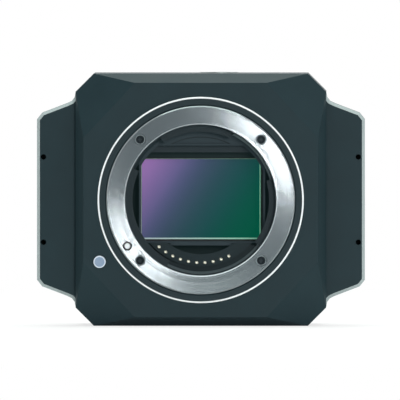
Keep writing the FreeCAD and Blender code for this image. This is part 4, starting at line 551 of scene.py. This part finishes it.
# The finish of each material slot
FINISHES = {
    # The housing's edge colour is partly bare metal and partly a painted highlight.
    "housing_black": partial(blasted_black, tint=colour(32, 49, 54), edge=colour(196, 206, 206)),
    "cover_black": partial(blasted_black, tint=colour(32, 48, 53)),
    "mount_metal": partial(
        turned_metal, tint=(0.79, 0.86, 0.895),
        # A ring of painted shade round the lock pin, where its clearance gap lies in shade
        shade_rings=[(PIN_MIDDLE.x, PIN_MIDDLE.z, PIN_RADIUS + PIN_SHADE_REACH)],
        # The rims: the throat's, with painted light below, and the outer one, with painted shade.
        rims=[(RING_THROAT - 0.1, RING_THROAT + 0.3, 0.0),
              (RING_OUTER - 0.36, RING_OUTER + 0.1, 0.62)]),
    "bezel_black": partial(
        turned_metal, tint=colour(32, 48, 53), roughness=0.45, lean=0.3, metallic=0.1, gloss=0.25),
    "trim_pale": partial(
        moulded, tint=(0.93, 0.95, 0.96), roughness=0.3, grain=0.001, coat=0.3),
    "screw_black": screw_steel,
    "claw_black": partial(
        turned_metal, tint=colour(30, 43, 48), roughness=0.45, lean=0.2, metallic=0.0, gloss=0.2,
        highlight_bands=[(CLAW_LIP_INNER, CLAW_LIP_OUTER)]),
    "spring_steel": partial(plain_metal, tint=(0.6, 0.6, 0.6)),
    "pin_steel": partial(moulded, tint=(0.8, 0.83, 0.85), roughness=0.25, grain=0.001, coat=0.4),
    "button_metal": release_button,
    "baffle_black": image_frame,
    "carrier_black": partial(moulded, tint=colour(26, 41, 45), roughness=0.55, gloss=0.2),
    "contact_gold": gold_tips,
    "flex_brown": partial(moulded, tint=(0.2, 0.09, 0.02), roughness=0.35, grain=0.001, coat=0.4),
    "shutter_black": partial(
        moulded, tint=colour(16, 30, 31), roughness=0.6, glow=0.5, gloss=0.15),
    "blade_black": partial(moulded, tint=colour(22, 34, 36), grain=0.002, gloss=0.2),
    "arm_steel": partial(plain_metal, tint=(0.45, 0.45, 0.46)),
    "motor_steel": partial(plain_metal, tint=(0.5, 0.5, 0.5)),
    "frame_alloy": partial(blasted_black, tint=(0.03, 0.032, 0.035), roughness=0.45),
    "filter_glass": coated_glass,
    "chip_silicon": chip_with_painted_sheen,
    "package_ceramic": partial(moulded, tint=(0.06, 0.062, 0.068), roughness=0.6),
    "board_green": circuit_board,
    "pad_grey": partial(moulded, tint=(0.3, 0.32, 0.35), roughness=0.7, grain=0.01),
    "plain_alloy": partial(plain_metal, tint=(0.72, 0.72, 0.73), roughness=0.35),
    "chip_black": partial(moulded, tint=(0.018, 0.018, 0.02)),
    "shield_tin": partial(plain_metal, tint=(0.68, 0.68, 0.66), roughness=0.38),
    "socket_steel": partial(plain_metal, tint=(0.66, 0.66, 0.67), roughness=0.25),
    "socket_black": partial(moulded, tint=(0.02, 0.02, 0.022), roughness=0.42),
    "gasket_rubber": partial(moulded, tint=(0.015, 0.015, 0.016), roughness=0.75),
    "power_black": partial(moulded, tint=(0.05, 0.055, 0.06), roughness=0.4),
    "light_clear": partial(
        moulded, tint=(0.75, 0.85, 0.78), roughness=0.3, grain=0.001, coat=0.5),
    "insert_steel": partial(plain_metal, tint=(0.36, 0.4, 0.39), roughness=0.5),
}


def dress_nodes():
    """Give every construction node the finish of its material slot."""
    made = {}
    for row in frame["record"]["subparts"]:
        slot = row["material_slot"]
        if slot not in made:
            made[slot] = FINISHES[slot](slot + "_finish")
        mesh = frame["nodes"][row["node"]].data
        mesh.materials.clear()
        mesh.materials.append(made[slot])


def coil_spring(node, slide):
    """A coil in a spring node's place; the plate's travel is read, but the coil doesn't shorten."""
    low, high = (Vector(corner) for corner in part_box(node))
    wire = COIL_WIRE / 2 * MILLIMETRE
    length = high.y - low.y
    joints = frame["record"]["behaviour"]["joints"]
    travel = next(row["range_m"][1] for row in joints if row["name"] == slide)
    bpy.ops.object.select_all(action="DESELECT")
    bpy.ops.mesh.primitive_circle_add(vertices=COIL_SIDES, radius=wire)
    coil = bpy.context.active_object
    coil.name = node + "_coil"
    bpy.ops.object.mode_set(mode="EDIT")
    bpy.ops.mesh.select_all(action="SELECT")
    bpy.ops.transform.translate(value=((high.x - low.x) / 2 - wire, 0, 0))
    bpy.ops.object.mode_set(mode="OBJECT")
    screw = coil.modifiers.new("turns", "SCREW")
    screw.axis = "Y"
    screw.iterations = COIL_TURNS
    screw.screw_offset = (length - 2 * wire) / COIL_TURNS
    screw.steps = COIL_STEPS
    screw.render_steps = COIL_STEPS
    bpy.ops.object.modifier_apply(modifier="turns")
    bpy.ops.object.mode_set(mode="EDIT")
    bpy.ops.mesh.select_all(action="SELECT")
    bpy.ops.mesh.fill_holes(sides=0)
    bpy.ops.mesh.normals_make_consistent(inside=False)
    bpy.ops.object.mode_set(mode="OBJECT")
    coil.location = ((low.x + high.x) / 2, low.y + wire, (low.z + high.z) / 2)
    bpy.ops.object.transform_apply(location=True, rotation=True, scale=True)
    bpy.ops.object.shade_smooth_by_angle(angle=COIL_SMOOTH_ANGLE)
    coil.data.materials.append(frame["nodes"][node].data.materials[0])
    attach(coil, "camera")
    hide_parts(node)
    (length - travel) / length
    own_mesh(coil)


def area_lamp(name, place, target, width, height, power, tint=(1, 1, 1), turn=0.0):
    """A soft lamp at a place, facing a target; sizes in metres, turned about its own axis."""
    lamp = bpy.data.lights.new(name, "AREA")
    lamp.shape = "RECTANGLE"
    lamp.size = width
    lamp.size_y = height
    lamp.energy = power
    lamp.color = tint
    holder = bpy.data.objects.new(name, lamp)
    holder.location = place
    facing = (Vector(target) - Vector(place)).to_track_quat("-Z", "Y")
    holder.rotation_euler = (facing @ Quaternion((0, 0, 1), math.radians(turn))).to_euler()
    bpy.context.scene.collection.objects.link(holder)


def around(angle, off_axis, reach):
    """A place in front of the mount: angle from +X towards +Z, and degrees off the axis."""
    turn, lean = math.radians(angle), math.radians(off_axis)
    beside = reach * math.sin(lean)
    return (beside * math.cos(turn), -reach * math.cos(lean), beside * math.sin(turn))


def lamps():
    """Soft light from above and from behind, and two long panels in front of the mount.

    The panels draw the bright lobes on its turned ring.
    """
    area_lamp("overhead", (0.0, 0.12, 0.9), (0, 0.02, 0), width=0.9, height=0.6, power=8.0,
              tint=(0.88, 1.0, 0.92))
    key_place = around(KEY_ANGLE, KEY_OFF_AXIS, KEY_DISTANCE)
    for name, height, power in (("key", 0.47, 5.5), ("key_wide", 0.76, 1.5)):
        area_lamp(name, key_place, (0, 0, 0), 0.3, height, power, turn=KEY_ANGLE)
    area_lamp("behind", (0.3, 1.0, 0.7), (0, 0.03, 0), width=0.8, height=0.6, power=4.0)


def white_surroundings():
    """A world that is white to the camera, in mirrors and through glass, and soft as a light."""
    world = bpy.data.worlds.new("studio_world")
    graph = Graph(world)
    rays = graph.add("ShaderNodeLightPath")
    seen = rays[CAMERA_RAY].or_more(rays[GLOSSY_RAY].or_more(rays[TRANSMISSION_RAY]))
    white = graph.add("ShaderNodeBackground", inputs={
        "Strength": 1.0, "Color": (1, 1, 1, 1)})[0]
    soft = graph.add("ShaderNodeBackground", inputs={
        "Strength": 0.55, "Color": (0.93, 0.97, 1, 1)})[0]
    graph.add("ShaderNodeOutputWorld", inputs={"Surface": graph.mix(seen, soft, white)})
    bpy.context.scene.world = world


def stage_plane(name, size, location, rotation=(0, 0, 0)):
    """One flat square of the studio."""
    bpy.ops.object.select_all(action="DESELECT")
    bpy.ops.mesh.primitive_plane_add(size=size, location=location, rotation=rotation)
    plane = bpy.context.active_object
    plane.name = name
    return plane


def pale_floor():
    """A pale floor that keeps the object's soft shadow and fades to white round it.

    Bare metal mirrors a dark cloth that lies on it in front of the object.
    """
    floor = stage_plane("studio_floor", FLOOR_SIZE, (0, 0, FLOOR_HEIGHT - FLOOR_GAP))
    finish = Finish("floor_paper")
    grain = finish.noise(0.02, 2.0)
    paper = finish.surface(
        Base_Color=finish.blend(grain, (0.86, 0.86, 0.86), (0.9, 0.9, 0.9)), Roughness=0.9)
    glow = finish.add("ShaderNodeEmission", inputs={"Color": (1, 1, 1, 1), "Strength": 1.0})[0]
    rays = finish.add("ShaderNodeLightPath")
    across, along, _ = finish.place()
    fade = finish.add("ShaderNodeMapRange", {"interpolation_type": "SMOOTHSTEP"}, {
        0: distance(across, along), 1: FADE_FROM, 2: FADE_TO, 3: FADE_LEAST, 4: 1.0})[0]
    white = finish.mix(rays[CAMERA_RAY] * fade, paper, glow)
    cloth = finish.surface(Base_Color=(0.035, 0.048, 0.054), Roughness=0.9)
    mirrored = rays[GLOSSY_RAY] * (along < CLOTH_FROM)
    floor.data.materials.append(finish.finish(finish.mix(mirrored, white, cloth)))


def dark_card():
    """A dark board across the front, which the camera doesn't see and bare metal mirrors."""
    card = stage_plane("dark_card", CARD_SIZE, (0, -CARD_DISTANCE, 0), (math.pi / 2, 0, 0))
    finish = Finish("dark_board")
    cloud = finish.noise(0.002, 2.0)
    card.data.materials.append(finish.solid(
        Base_Color=finish.blend(cloud, (0.03, 0.05, 0.06), (0.046, 0.07, 0.082)), Roughness=0.9))
    card.visible_camera = False
    card.visible_diffuse = False


def photo_camera():
    """Camera a little right of and above the optical axis, with the mount's centre on its pixel."""
    step = MILLIMETRE / PIXELS_PER_MM
    lens = bpy.data.cameras.new("photo_camera")
    lens.sensor_width = FILM_WIDTH
    lens.lens = lens.sensor_width * CAMERA_DISTANCE / (IMAGE_PIXELS * step)
    lens.clip_end = CAMERA_SEES_TO
    lens.shift_x = (IMAGE_PIXELS / 2 - MOUNT_CENTRE_PIXEL[0]) / IMAGE_PIXELS
    lens.shift_y = (MOUNT_CENTRE_PIXEL[1] - IMAGE_PIXELS / 2) / IMAGE_PIXELS
    holder = bpy.data.objects.new("photo_camera", lens)
    place = Vector((LOOK_FROM_RIGHT, -1, LOOK_FROM_ABOVE)).normalized() * CAMERA_DISTANCE
    holder.location = place
    holder.rotation_euler = (-place).to_track_quat("-Z", "Y").to_euler()
    bpy.context.scene.collection.objects.link(holder)
    bpy.context.scene.camera = holder


bpy.context.scene.view_settings.view_transform = "Standard"
photo_camera()
white_surroundings()
pale_floor()
dark_card()
lamps()
dress_nodes()
for spring in ("release_button_spring", "lock_pin_spring"):
    coil_spring(spring, "lens_release_slide")
